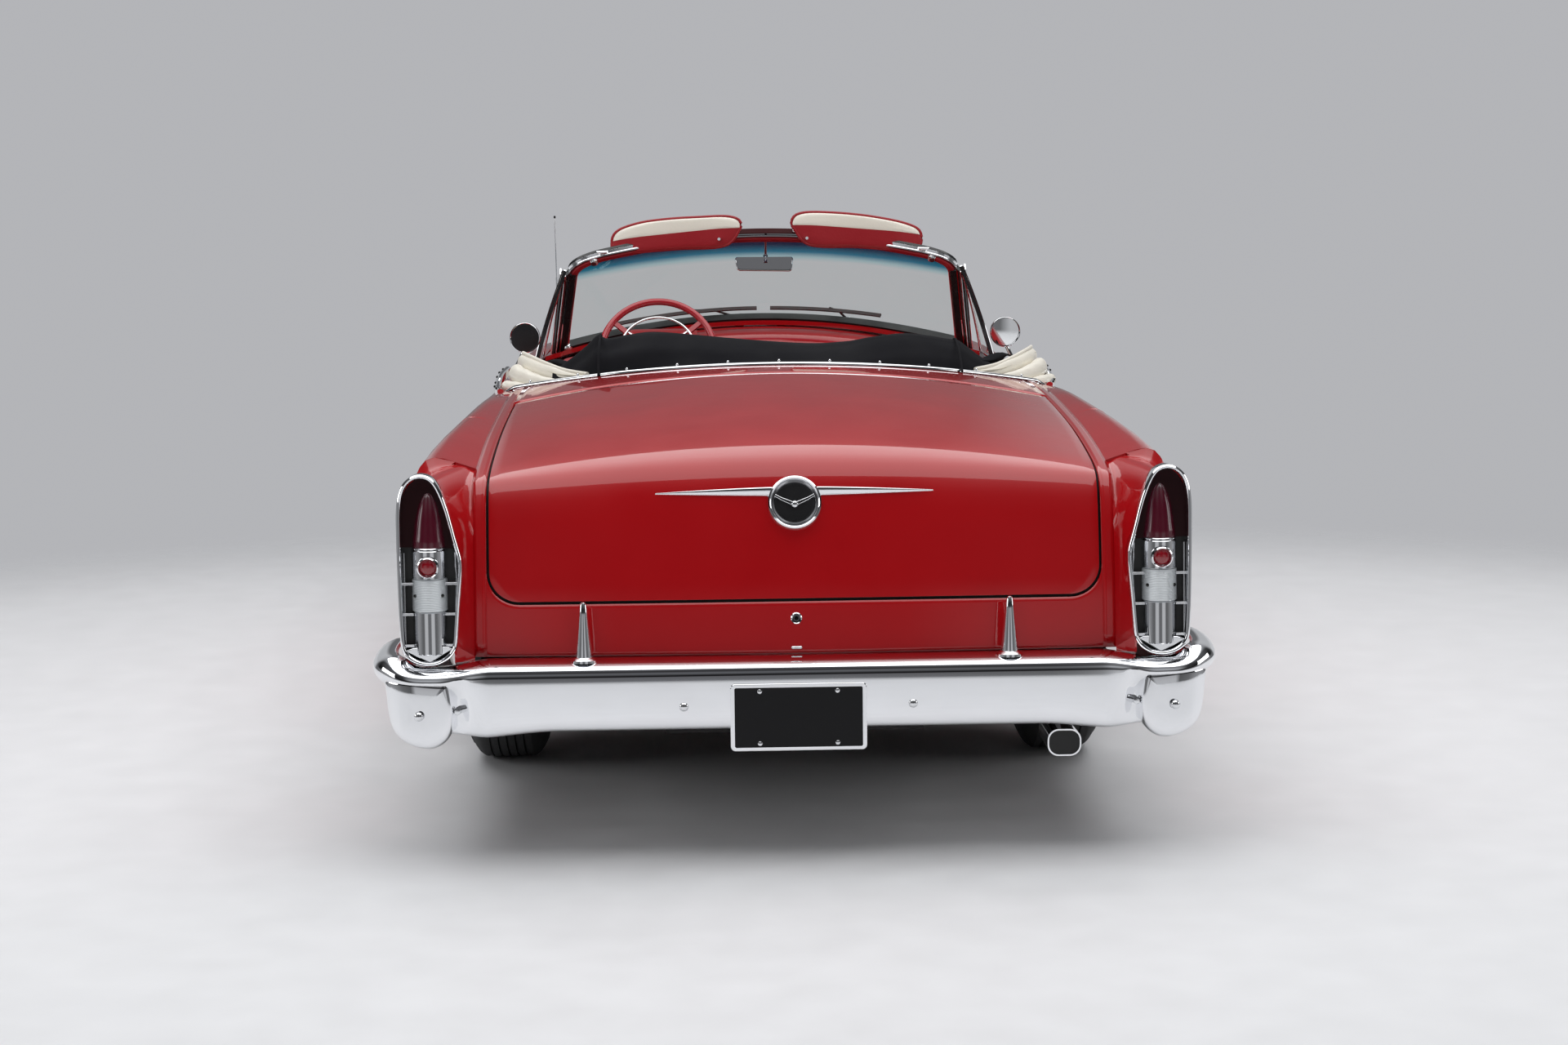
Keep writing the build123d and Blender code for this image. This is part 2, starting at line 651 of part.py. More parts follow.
# Rear bumper with guards, pods and the plate's backing
with BuildPart() as rear_bumper:
    add(bumper_bar(720, Y_REAR + 3 + FIT_GAP, -1, -2330, REAR_BUMPER_TOP, REAR_BUMPER_FOOT))
    for side in (-1, 1):
        with BuildSketch(Plane.XY.offset(REAR_BUMPER_TOP - 49)):
            with Locations((side * GUARD_X, GUARD_Y)):
                Circle(22)
        with BuildSketch(Plane.XY.offset(GUARD_TOP)):
            with Locations((side * GUARD_X, GUARD_Y)):
                Circle(GUARD_TIP)
        loft(ruled=True)
        with Locations((side * GUARD_X, GUARD_Y, GUARD_TOP)):
            Sphere(GUARD_TIP)
        with Locations((side * 365, (-2592 - 2430 - FIT_GAP) / 2, 400)):
            Box(60, 2592 - 2430 - FIT_GAP, 30)
    for side in (-1, 1):
        for z in (344.5 - PLATE_HOLES_Z / 2, 344.5 + PLATE_HOLES_Z / 2):
            with Locations(Location((side * PLATE_HOLES_X / 2, Y_REAR + 15, z), (90, 0, 0))):
                Cylinder(PLATE_HOLE / 2, 60, mode=Mode.SUBTRACT)
    add(bumper_pods.part)
save(rear_bumper, "rear_bumper")

with BuildPart() as front_bumper:
    add(bumper_bar(720, Y_FRONT, 1, 2300, 500, 300))
    for side in (-1, 1):
        with Locations((side * 420, Y_FRONT - 40, 470)):
            Box(70, 76, 150)
        with Locations((side * 365, (2350 + FIT_GAP + 2587) / 2, 430)):
            Box(60, 2587 - 2350 - FIT_GAP, 30)
        for z in (400 - PLATE_HOLES_Z / 2, 400 + PLATE_HOLES_Z / 2):
            with Locations(Location((side * PLATE_HOLES_X / 2, Y_FRONT - 15, z), (90, 0, 0))):
                Cylinder(PLATE_HOLE / 2, 60, mode=Mode.SUBTRACT)
save(front_bumper, "front_bumper")

with BuildPart() as licence_plate:
    with Locations((0, Y_REAR + 1.5, 344.5)):
        Box(PLATE_W, 3, PLATE_H)
    for side in (-1, 1):
        for z in (344.5 - PLATE_HOLES_Z / 2, 344.5 + PLATE_HOLES_Z / 2):
            with Locations(Location((side * PLATE_HOLES_X / 2, Y_REAR + 3, z), (90, 0, 0))):
                Cylinder(PLATE_HOLE / 2, 20, mode=Mode.SUBTRACT)
save(licence_plate, "licence_plate")

# Tail lamps: a tall arched housing with a thin rim round a well, and a half-round column in the well that
# carries the round stop lens and, between its foot and its band, the clear reversing lens
LAMP_X = 843
LAMP_DEPTH = 76
LAMP_WELL = 34
LAMP_RIM = 4
LAMP_FACE = Y_TAIL - FIT_GAP - LAMP_DEPTH
LAMP_FLOOR = LAMP_FACE + LAMP_WELL
COLUMN = 38
SPOT = 19
SPOT_Z = 693
FOOT_Z = 496
CLEAR_Z = 588
BAND_Z = 663
BULLET_Z = 729
BULLET_TOP = 862
BULLET = 33
FIELD = 6
FLUTES = 7


def lamp_face(y, inset=0, low=0):
    """The outline of a tail lamp at y, drawn in by inset and cut off below a level."""
    with BuildSketch(Plane.XZ.offset(-y)) as face:
        with BuildLine():
            outer = Line((904, 505), (908, 828))
            arch = ThreePointArc(outer @ 1, (862, 901), (815, 863))
            kink = Polyline(arch @ 1, (798, 816), (782, 751), (768, 700), (784, 505), (843, 466))
            Line(kink @ 1, outer @ 0)
        make_face()
        if inset:
            offset(amount=-inset, mode=Mode.REPLACE)
        with Locations((LAMP_X, low)):
            Rectangle(400, 300, align=(Align.CENTER, Align.MAX), mode=Mode.SUBTRACT)
    return face.sketch


def lamp_column(radius, low, high, floor, dome=0):
    """A half-round upright in the well of a tail lamp, with a domed top where dome is its height."""
    with BuildPart() as column:
        with BuildSketch(Plane(origin=(LAMP_X, floor, 0), x_dir=(1, 0, 0), z_dir=(0, -1, 0))):
            with BuildLine():
                side_line = Polyline((0, high), (0, low), (radius, low), (radius, high - dome))
                if dome:
                    ThreePointArc(
                        side_line @ 1,
                        (radius * math.sqrt(0.5), high - dome + dome * math.sqrt(0.5)),
                        side_line @ 0,
                    )
                else:
                    Line(side_line @ 1, side_line @ 0)
            make_face()
        revolve(axis=Axis((LAMP_X, floor, 0), (0, 0, 1)))
        with Locations((LAMP_X, floor, low)):
            behind = (Align.CENTER, Align.MIN, Align.CENTER)
            Box(4 * radius, 2 * radius, 4 * (high - low), align=behind, mode=Mode.SUBTRACT)
    return column.part


with BuildPart() as tail_lamps:
    extrude(lamp_face(LAMP_FACE), amount=-LAMP_DEPTH)
    extrude(lamp_face(LAMP_FACE, LAMP_RIM, FOOT_Z), amount=-LAMP_WELL, mode=Mode.SUBTRACT)
    add(lamp_column(COLUMN, FOOT_Z - 1, CLEAR_Z, LAMP_FLOOR))
    add(lamp_column(COLUMN, BAND_Z, BULLET_Z, LAMP_FLOOR))
    with Locations(Location((LAMP_X, LAMP_FLOOR, SPOT_Z), (90, 0, 0))):
        Cylinder(SPOT + 5, COLUMN + 4, align=(Align.CENTER, Align.CENTER, Align.MIN))
        with Locations((0, 0, COLUMN - 8)):
            Cylinder(SPOT + FIT_GAP, 20, align=(Align.CENTER, Align.CENTER, Align.MIN), mode=Mode.SUBTRACT)
    with BuildSketch(Plane.XZ.offset(-LAMP_FLOOR)):
        for z in (518, 582, 652):
            for x in (LAMP_X - COLUMN - 12, LAMP_X + COLUMN + 12):
                with Locations((x, z)):
                    Rectangle(22, 6)
    extrude(amount=LAMP_WELL - 6)
    mirror(about=Plane.YZ)
save(tail_lamps, "tail_lamps")

with BuildPart() as tail_lamp_lenses:
    extrude(lamp_face(LAMP_FLOOR - FIT_GAP, LAMP_RIM + FIT_GAP, BULLET_Z + FIT_GAP), amount=FIELD)
    add(lamp_column(BULLET, BULLET_Z + FIT_GAP, BULLET_TOP, LAMP_FLOOR - FIT_GAP, dome=BULLET))
    with Locations(Location((LAMP_X, LAMP_FLOOR - FIT_GAP, SPOT_Z), (90, 0, 0))):
        with Locations((0, 0, COLUMN - 8)):
            Cylinder(SPOT, 10, align=(Align.CENTER, Align.CENTER, Align.MIN))
    add(lamp_column(COLUMN, CLEAR_Z + FIT_GAP, BAND_Z - FIT_GAP, LAMP_FLOOR - FIT_GAP))
    for k in range(FLUTES):
        turn = math.pi * (k + 1) / (FLUTES + 1)
        flute_x = LAMP_X + COLUMN * math.cos(turn)
        flute_y = LAMP_FLOOR - COLUMN * math.sin(turn)
        with Locations((flute_x, flute_y, (CLEAR_Z + BAND_Z) / 2)):
            Cylinder(2.5, BAND_Z - CLEAR_Z, mode=Mode.SUBTRACT)
    mirror(about=Plane.YZ)
save(tail_lamp_lenses, "tail_lamp_lenses")

# Round emblem with a spear to each side
EMBLEM = 62
SPEAR_END = 322
emblem_plane = Plane(origin=(0, -2469, 822), x_dir=(1, 0, 0), z_dir=(0, -0.966, 0.259))
with BuildPart() as trunk_emblem:
    with BuildSketch(emblem_plane.offset(-1.2)):
        Circle(EMBLEM)
    extrude(amount=9)
    with BuildSketch(emblem_plane.offset(6)):
        Circle(EMBLEM)
        Circle(EMBLEM - 8, mode=Mode.SUBTRACT)
        Circle(EMBLEM - 38)
    extrude(amount=6)
    with BuildSketch(emblem_plane.offset(-1.2)):
        Polygon((EMBLEM - 10, 14), (SPEAR_END, 22), (SPEAR_END, 27), (EMBLEM - 10, 32), align=None)
        mirror(about=Plane.YZ)
    extrude(amount=8)
save(trunk_emblem, "trunk_emblem")

# Belt moulding round the well, and the side strips
with BuildPart() as body_trim:
    moulding = arc_band(BELT_HALF, Y_BELT, BELT_Z, Y_WELL, BELT_TOP, -FIT_GAP, 22)
    extrude(moulding, amount=16, both=True)
    add(strip_of_trim(Y_TAIL, Y_DOOR_REAR - PANEL_GAP))
    add(strip_of_trim(Y_HINGE + 80, Y_NOSE))
    with BuildSketch(Plane.YZ.offset(850)):
        with Locations((Y_REAR_AXLE, TYRE_RADIUS)):
            Circle(REAR_ARCH)
        with Locations((Y_FRONT_AXLE, TYRE_RADIUS)):
            Circle(FRONT_ARCH)
    extrude(amount=200, mode=Mode.SUBTRACT)
    mirror(about=Plane.YZ)
    add(rear_quarters.part, mode=Mode.SUBTRACT)
save(body_trim, "body_trim")

# Door trim: strip, handle and mirror
for side, name in ((1, "door_trim_right"), (-1, "door_trim_left")):
    with BuildPart() as door_trim:
        add(strip_of_trim(Y_DOOR_REAR, Y_HINGE))
        with Locations((922, 20, 800)):
            Box(24, 170, 22)
        with Locations((840, 250, 985)):
            Cylinder(9, 120)
        with Locations(Location((840, 250, 1070), (90, 0, 0))):
            Cylinder(49, 36)
        add(side_panel(Y_DOOR_REAR, Y_HINGE, depth=None), mode=Mode.SUBTRACT)
        if side < 0:
            mirror(about=Plane.YZ, mode=Mode.REPLACE)
    save(door_trim, name)

# Quarter lights on the doors
for side, name in ((1, "vent_window_right"), (-1, "vent_window_left")):
    lean = Plane(origin=(side * 778, 0, 966), x_dir=(0, side, 0), z_dir=(side * 0.955, 0, 0.296))
    with BuildPart() as vent_window:
        with BuildSketch(lean):
            Polygon((side * 790, 9), (side * 420, -1), (side * 470, 340), align=None)
        extrude(amount=9)
    save(vent_window, name)

# Engine as one block
with BuildPart() as engine:
    with Locations((0, 1640, ENGINE_FOOT + 250)):
        Box(560, 700, 500)
save(engine, "engine")

with BuildPart() as fuel_tank:
    with Locations((0, -2099.5, FLOOR_REAR - FIT_GAP - 95)):
        Box(620, 399, 190)
save(fuel_tank, "fuel_tank")

PIPE = 20
with BuildPart() as exhaust:
    with BuildLine():
        FilletPolyline(
            (200, -860, 200), (425, -1000, 200), (425, -1130, 450), (425, -1510, 450), (560, -1700, 290),
            (631, -1850, 247), (631, -2490, 247), radius=50,
        )
    with BuildSketch(Plane(origin=(200, -860, 200), x_dir=(0, 0, 1), z_dir=(225, -140, 0))):
        Circle(PIPE)
    sweep()
    with Locations((200, -600, 200)):
        Box(220, 600, 80)
    with Locations((200, -600, 246)):
        Box(60, 40, 2 * (255 - FIT_GAP - 246))
    with Locations((631, -2300, (FLOOR_REAR - FIT_GAP + 240) / 2)):
        Box(16, 16, FLOOR_REAR - FIT_GAP - 240)
    with Locations(Location((200, 550, 215), (90, 0, 0))):
        Cylinder(PIPE, 1760)
    with Locations((200, 1412, (ENGINE_FOOT - FIT_GAP + 205) / 2)):
        Cylinder(PIPE, ENGINE_FOOT - FIT_GAP - 205)
save(exhaust, "exhaust")

with BuildPart() as antenna:
    with Locations((-720, 900, 1230)):
        Cylinder(3, 480)
    with Locations((-720, 900, 1000)):
        Cylinder(12, 30)
    add(cowl_panel.part, mode=Mode.SUBTRACT)
save(antenna, "antenna")

# Seats
with BuildPart() as front_seat:
    with BuildSketch(Plane.YZ.offset(-640)):
        Polygon(
            (180, FLOOR_Z + SHEET), (180, 640), (60, 668), (-300, 630), (-430, 1030), (-530, 1040), (-560, 980),
            (-420, 560), (-380, FLOOR_Z + SHEET), align=None,
        )
    extrude(amount=1280)
save(front_seat, "front_seat")

with BuildPart() as rear_seat:
    with BuildSketch(Plane.YZ.offset(-560)):
        Polygon(
            (-660, FLOOR_Z + SHEET + 60), (-650, 640), (-760, 650), (-880, 620), (-960, 960), (-1060, 960),
            (-1060, 620), (-1000, 612), (-768, 580), (-708, FLOOR_Z + SHEET + 60), align=None,
        )
    extrude(amount=1120)
    add(floor_pan.part, mode=Mode.SUBTRACT)
save(rear_seat, "rear_seat")

# Folded top and its boot
with BuildPart() as folded_top:
    with BuildSketch(Plane.YZ.offset(-600)):
        Polygon(
            (-1250, 612 + FIT_GAP), (-1250, 1080), (-1120, 1130), (-920, 1130), (-840, 1080), (-840, 985),
            (-1065, 965), (-1065, 612 + FIT_GAP), align=None,
        )
    extrude(amount=1200)
    with BuildSketch(Plane.XY.offset(600)):
        with BuildLine():
            back = ThreePointArc((-600, -1060), (0, -1240), (600, -1060))
            Polyline(back @ 1, (600, -800), (-600, -800), back @ 0)
        make_face()
    extrude(amount=600, mode=Mode.INTERSECT)
    for side in (-1, 1):
        with Locations((side * 600, -1150, 785)):
            Box(46, 400, 370, mode=Mode.SUBTRACT)
save(folded_top, "folded_top")

with BuildPart() as top_boot:
    for side in (-1, 1):
        with Locations((side * (603 + DECK_HALF - FIT_GAP) / 2, -830, 1020)):
            Box(DECK_HALF - FIT_GAP - 603, 270, 90)
save(top_boot, "top_boot")

# Steering: column along the wheel's axis, the wheel at its head
tilt = math.radians(STEER_TILT)
steer_axis = (0, math.cos(tilt), -math.sin(tilt))
steer_plane = Plane(origin=(STEER_X, STEER_Y, STEER_Z), x_dir=(1, 0, 0), z_dir=steer_axis)
with BuildPart() as steering_column:
    with BuildSketch(steer_plane.offset(60)):
        Circle(28)
    extrude(amount=880)
    with Locations((STEER_X, 822, 755)):
        Box(60, 40, 2 * (790 - FIT_GAP - 755))
save(steering_column, "steering_column")

with BuildPart() as steering_wheel:
    with BuildSketch(steer_plane.offset(-10)):
        Circle(STEER_RADIUS)
        Circle(STEER_RADIUS - 22, mode=Mode.SUBTRACT)
    extrude(amount=22)
    with BuildSketch(steer_plane.offset(-4)):
        Rectangle(2 * STEER_RADIUS - 20, 40)
    extrude(amount=8)
    with BuildSketch(steer_plane.offset(-16)):
        Circle(40)
    extrude(amount=76 - RUN_GAP)
save(steering_wheel, "steering_wheel")

# Rear axle with its springs and drums
WHEEL_X = TRACK / 2
HUB_FACE = WHEEL_X - 110
FRONT_HUB = WHEEL_X - 36
with BuildPart() as rear_axle:
    with Locations(Location((0, Y_REAR_AXLE, TYRE_RADIUS), (0, 90, 0))):
        Cylinder(42, 2 * HUB_FACE)
        Cylinder(120, 200)
    for side in (-1, 1):
        with Locations(Location((side * (HUB_FACE - 30), Y_REAR_AXLE, TYRE_RADIUS), (0, 90, 0))):
            Cylinder(140, 60)
        with Locations((side * 480, Y_REAR_AXLE, TYRE_RADIUS - 58)):
            Box(60, 1200, 30)
        with Locations((side * 480, Y_REAR_AXLE, TYRE_RADIUS - 30)):
            Box(80, 110, 44)
save(rear_axle, "rear_axle")

with BuildPart() as front_suspension:
    with Locations((0, Y_FRONT_AXLE, 339.35)):
        Box(760, 160, 120.7)
    for side in (-1, 1):
        with Locations((side * 531, Y_FRONT_AXLE, 269.5)):
            Box(342, 110, 21)
        with Locations((side * 551.15, Y_FRONT_AXLE, 440)):
            Box(301.7, 90, 20)
save(front_suspension, "front_suspension")

for side, name in ((1, "knuckle_right"), (-1, "knuckle_left")):
    with BuildPart() as knuckle:
        with Locations((side * (KINGPIN_X - 12), Y_FRONT_AXLE, 355)):
            Box(56, 76, 126)
        with Locations((side * KINGPIN_X, Y_FRONT_AXLE, 355)):
            Cylinder(15, 150 - 2 * RUN_GAP)
        with Locations(Location((side * (FRONT_HUB - RUN_GAP - 12), Y_FRONT_AXLE, TYRE_RADIUS), (0, 90, 0))):
            Cylinder(30, 24)
    save(knuckle, name)

# Wheels and tyres
for y, x, place in (
    (Y_FRONT_AXLE, WHEEL_X, "front_right"),
    (Y_FRONT_AXLE, -WHEEL_X, "front_left"),
    (Y_REAR_AXLE, WHEEL_X, "rear_right"),
    (Y_REAR_AXLE, -WHEEL_X, "rear_left"),
):
    out = math.copysign(1, x)
    face = HUB_FACE + RUN_GAP - WHEEL_X
    if place.startswith("front"):
        face = FRONT_HUB - WHEEL_X
    hub = Plane(origin=(x, y, TYRE_RADIUS), x_dir=(0, 1, 0), z_dir=(out, 0, 0))
    turn = Axis((x, y, TYRE_RADIUS), (1, 0, 0))
    section = Plane(origin=(x, y, TYRE_RADIUS), x_dir=(out, 0, 0), z_dir=(0, out, 0))
    with BuildPart() as wheel:
        with BuildSketch(section):
            Polygon(
                (-78, RIM_RADIUS), (78, RIM_RADIUS), (82, 150), (70, 100), (88, 60), (94, 0), (face, 0),
                (face, 70), (30, 110), (30, 176), (-78, 176), align=None,
            )
        revolve(axis=turn)
    save(wheel, "wheel_" + place)
    half = TYRE_WIDTH / 2
    with BuildPart() as tyre:
        with BuildSketch(section):
            with BuildLine():
                tread = Polyline(
                    (-half + 26, TYRE_RADIUS - 8), (-half + 40, TYRE_RADIUS), (half - 40, TYRE_RADIUS),
                    (half - 26, TYRE_RADIUS - 8),
                )
                outside = ThreePointArc(tread @ 1, (half, 280), (half - 28, RIM_RADIUS + FIT_GAP))
                foot = Line(outside @ 1, (-half + 28, RIM_RADIUS + FIT_GAP))
                ThreePointArc(foot @ 1, (-half, 280), tread @ 0)
            make_face()
        revolve(axis=turn)
    save(tyre, "tyre_" + place)
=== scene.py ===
import math
import bpy
import bmesh
import numpy as np
from mathutils import Vector, Matrix


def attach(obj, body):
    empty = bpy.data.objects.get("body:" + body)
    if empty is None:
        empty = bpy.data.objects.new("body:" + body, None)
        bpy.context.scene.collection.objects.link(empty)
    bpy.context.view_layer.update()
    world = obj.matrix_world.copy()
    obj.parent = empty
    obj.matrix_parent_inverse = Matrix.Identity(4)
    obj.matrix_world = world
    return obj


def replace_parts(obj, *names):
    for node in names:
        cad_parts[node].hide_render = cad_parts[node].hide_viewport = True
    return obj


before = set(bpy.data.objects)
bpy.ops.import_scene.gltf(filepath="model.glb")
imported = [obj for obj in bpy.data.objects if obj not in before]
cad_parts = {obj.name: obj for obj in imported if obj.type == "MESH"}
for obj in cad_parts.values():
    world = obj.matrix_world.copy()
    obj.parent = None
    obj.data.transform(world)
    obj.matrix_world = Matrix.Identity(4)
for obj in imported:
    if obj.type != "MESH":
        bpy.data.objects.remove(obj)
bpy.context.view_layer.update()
BODY = "body_shell"

# ---------------------------------------------------------------- materials


def material(name, colour, rough=0.5, metal=0.0, **more):
    """A principled material whose colour and roughness drift a little over the surface."""
    m = bpy.data.materials.new(name)
    m.use_nodes = True
    t = m.node_tree
    b = t.nodes["Principled BSDF"]
    b.inputs["Base Color"].default_value = (*colour, 1)
    b.inputs["Roughness"].default_value = rough
    b.inputs["Metallic"].default_value = metal
    for key, value in more.items():
        b.inputs[key.replace("_", " ")].default_value = value
    co = t.nodes.new("ShaderNodeTexCoord")
    patch = t.nodes.new("ShaderNodeTexNoise")
    patch.inputs["Scale"].default_value = 7.0
    patch.inputs["Detail"].default_value = 5.0
    t.links.new(co.outputs["Object"], patch.inputs["Vector"])
    wear = t.nodes.new("ShaderNodeMapRange")
    wear.inputs["From Min"].default_value = 0.3
    wear.inputs["From Max"].default_value = 0.7
    wear.inputs["To Min"].default_value = rough * 0.86
    wear.inputs["To Max"].default_value = min(1.0, rough * 1.18)
    t.links.new(patch.outputs["Fac"], wear.inputs["Value"])
    t.links.new(wear.outputs["Result"], b.inputs["Roughness"])
    tone = t.nodes.new("ShaderNodeMixRGB")
    tone.inputs["Color1"].default_value = (*(c * 0.955 for c in colour), 1)
    tone.inputs["Color2"].default_value = (*(min(1.0, c * 1.045) for c in colour), 1)
    t.links.new(patch.outputs["Fac"], tone.inputs["Fac"])
    t.links.new(tone.outputs["Color"], b.inputs["Base Color"])
    return m


def bumpy(m, scale, strength, kind="NOISE", detail=4.0, stretch=(1, 1, 1), distance=0.002):
    """Fine relief from a procedural texture in object space."""
    t = m.node_tree
    b = t.nodes["Principled BSDF"]
    co = t.nodes.new("ShaderNodeTexCoord")
    mp = t.nodes.new("ShaderNodeMapping")
    mp.inputs["Scale"].default_value = stretch
    t.links.new(co.outputs["Object"], mp.inputs["Vector"])
    if kind == "NOISE":
        x = t.nodes.new("ShaderNodeTexNoise")
        x.inputs["Scale"].default_value = scale
        x.inputs["Detail"].default_value = detail
        out = x.outputs["Fac"]
    elif kind == "WAVE":
        x = t.nodes.new("ShaderNodeTexWave")
        x.inputs["Scale"].default_value = scale
        out = x.outputs["Fac"]
    else:
        x = t.nodes.new("ShaderNodeTexVoronoi")
        x.inputs["Scale"].default_value = scale
        out = x.outputs["Distance"]
    t.links.new(mp.outputs["Vector"], x.inputs["Vector"])
    bp = t.nodes.new("ShaderNodeBump")
    bp.inputs["Strength"].default_value = strength
    bp.inputs["Distance"].default_value = distance
    t.links.new(out, bp.inputs["Height"])
    t.links.new(bp.outputs["Normal"], b.inputs["Normal"])
    return m


PAINT = material("paint_red", (0.40, 0.0012, 0.004), 0.34, 0.0, Coat_Weight=1.0, Coat_Roughness=0.035, Specular_IOR_Level=0.2)
PAINT_IN = material("paint_inner", (0.30, 0.004, 0.008), 0.45)
CHROME = material("chrome", (0.86, 0.87, 0.89), 0.05, 1.0)
CHROME_SOFT = material("chrome_soft", (0.80, 0.81, 0.83), 0.16, 1.0)
STEEL = material("dull_steel", (0.30, 0.30, 0.31), 0.45, 1.0)
BLACK = material("black_gloss", (0.012, 0.012, 0.013), 0.25)
RUBBER = material("rubber", (0.018, 0.018, 0.019), 0.65)
TYRE = bumpy(material("tyre_rubber", (0.022, 0.022, 0.023), 0.78), 60, 0.15)
WHITEWALL = material("whitewall", (0.78, 0.77, 0.74), 0.55)
UNDER = bumpy(material("underbody", (0.022, 0.021, 0.021), 0.75), 40, 0.3)
CAST = bumpy(material("cast_iron", (0.06, 0.06, 0.062), 0.6, 0.6), 70, 0.3)
CREAM = bumpy(material("cream_vinyl", (0.80, 0.76, 0.67), 0.42, 0.0, Coat_Weight=0.15), 160, 0.12, "VORONOI")
CREAM_EDGE = material("cream_piping", (0.66, 0.62, 0.52), 0.4)
REDVINYL = bumpy(material("red_vinyl", (0.30, 0.006, 0.012), 0.4), 160, 0.12, "VORONOI")
CLOTH = bumpy(material("black_cloth", (0.007, 0.007, 0.009), 0.97, 0.0, Specular_IOR_Level=0.15), 700, 0.5, distance=0.001)
CARPET = bumpy(material("carpet", (0.10, 0.004, 0.006), 0.98), 500, 0.8)
REDPLASTIC = material("red_plastic", (0.36, 0.006, 0.016), 0.22, 0.0, Coat_Weight=0.5)
LENS_RED = material("lens_red", (0.075, 0.004, 0.014), 0.22, 0.0, Coat_Weight=1.0, Coat_Roughness=0.05)
# partly painted shade: dark maroon for the lamp housing above the band, its own red tone darkened by the shade inside
# it
LENS_MAROON_SHADE = material("lens_maroon_shade", (0.012, 0.0006, 0.0015), 0.35, 0.0, Specular_IOR_Level=0.2)
LENS_SPOT = material("lens_spot", (0.24, 0.003, 0.010), 0.15, 0.0, Coat_Weight=1.0)
LENS_CLEAR = material("lens_clear", (0.62, 0.65, 0.67), 0.28, 0.25, Coat_Weight=0.6)
AMBER = material("lens_amber", (0.55, 0.16, 0.01), 0.12, 0.0, Coat_Weight=1.0)
# painted shade: a near-black finish laid in gaps and hollows to stand for the shade that falls there
RECESS_SHADE = material("painted_recess_shade", (0.012, 0.012, 0.012), 0.5)
HEADER = material("header_red", (0.035, 0.004, 0.005), 0.6, Specular_IOR_Level=0.1)
EMBLEM = material("emblem_grey", (0.15, 0.15, 0.155), 0.3, 1.0)
DARKMETAL = material("dark_metal", (0.05, 0.05, 0.048), 0.18, 1.0)
PLATE = material("plate_black", (0.012, 0.012, 0.013), 0.5, Specular_IOR_Level=0.15)
MIRROR = material("mirror_glass", (0.90, 0.91, 0.92), 0.01, 1.0)


def glass_material(name, tint, alpha):
    """Thin tinted glass that light and the camera see through."""
    m = bpy.data.materials.new(name)
    m.use_nodes = True
    t = m.node_tree
    t.nodes.clear()
    out = t.nodes.new("ShaderNodeOutputMaterial")
    mix = t.nodes.new("ShaderNodeMixShader")
    clear = t.nodes.new("ShaderNodeBsdfTransparent")
    clear.inputs["Color"].default_value = (*tint, 1)
    shiny = t.nodes.new("ShaderNodeBsdfGlossy")
    shiny.inputs["Roughness"].default_value = 0.01
    mix.inputs["Fac"].default_value = alpha
    t.links.new(clear.outputs["BSDF"], mix.inputs[1])
    t.links.new(shiny.outputs["BSDF"], mix.inputs[2])
    t.links.new(mix.outputs["Shader"], out.inputs["Surface"])
    return m


GLASS = glass_material("side_glass", (0.90, 0.95, 0.93), 0.07)


def shade_band(low, high):
    """Windscreen glass with a blue-green band that fades in towards its top."""
    m = glass_material("screen_glass", (0.92, 0.96, 0.94), 0.06)
    t = m.node_tree
    clear = [n for n in t.nodes if n.bl_idname == "ShaderNodeBsdfTransparent"][0]
    at = t.nodes.new("ShaderNodeAttribute")
    at.attribute_name = "band"
    ramp = t.nodes.new("ShaderNodeValToRGB")
    ramp.color_ramp.elements[0].position = 0.0
    ramp.color_ramp.elements[0].color = (0.90, 0.945, 0.93, 1)
    ramp.color_ramp.elements[1].position = 1.0
    ramp.color_ramp.elements[1].color = (0.001, 0.035, 0.085, 1)
    mid = ramp.color_ramp.elements.new(0.55)
    mid.color = (0.03, 0.27, 0.40, 1)
    mid2 = ramp.color_ramp.elements.new(0.22)
    mid2.color = (0.60, 0.84, 0.86, 1)
    t.links.new(at.outputs["Fac"], ramp.inputs["Fac"])
    t.links.new(ramp.outputs["Color"], clear.inputs["Color"])
    return m


SCREEN = shade_band(0, 1)

# ---------------------------------------------------------------- mesh helpers


def make(name, verts, faces, mat, body=BODY, smooth=True, angle=38, closed=True):
    """A mesh piece that rides on a CAD body."""
    me = bpy.data.meshes.new(name)
    me.from_pydata([tuple(map(float, v)) for v in verts], [], faces)
    if closed:
        bm = bmesh.new()
        bm.from_mesh(me)
        bmesh.ops.remove_doubles(bm, verts=bm.verts, dist=1e-5)
        bmesh.ops.recalc_face_normals(bm, faces=bm.faces)
        bm.to_mesh(me)
        bm.free()
    me.materials.append(mat)
    if smooth:
        me.polygons.foreach_set("use_smooth", [True] * len(me.polygons))
        me.set_sharp_from_angle(angle=math.radians(angle))
    o = bpy.data.objects.new(name, me)
    bpy.context.scene.collection.objects.link(o)
    if body:
        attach(o, body)
    return o


def bevel(o, width, seg=2, angle=35):
    m = o.modifiers.new("bevel", "BEVEL")
    m.width = width
    m.segments = seg
    m.limit_method = "ANGLE"
    m.angle_limit = math.radians(angle)
    m.harden_normals = False
    return o


def thick(o, t, offset=-1):
    m = o.modifiers.new("thick", "SOLIDIFY")
    m.thickness = t
    m.offset = offset
    m.use_even_offset = True
    return o


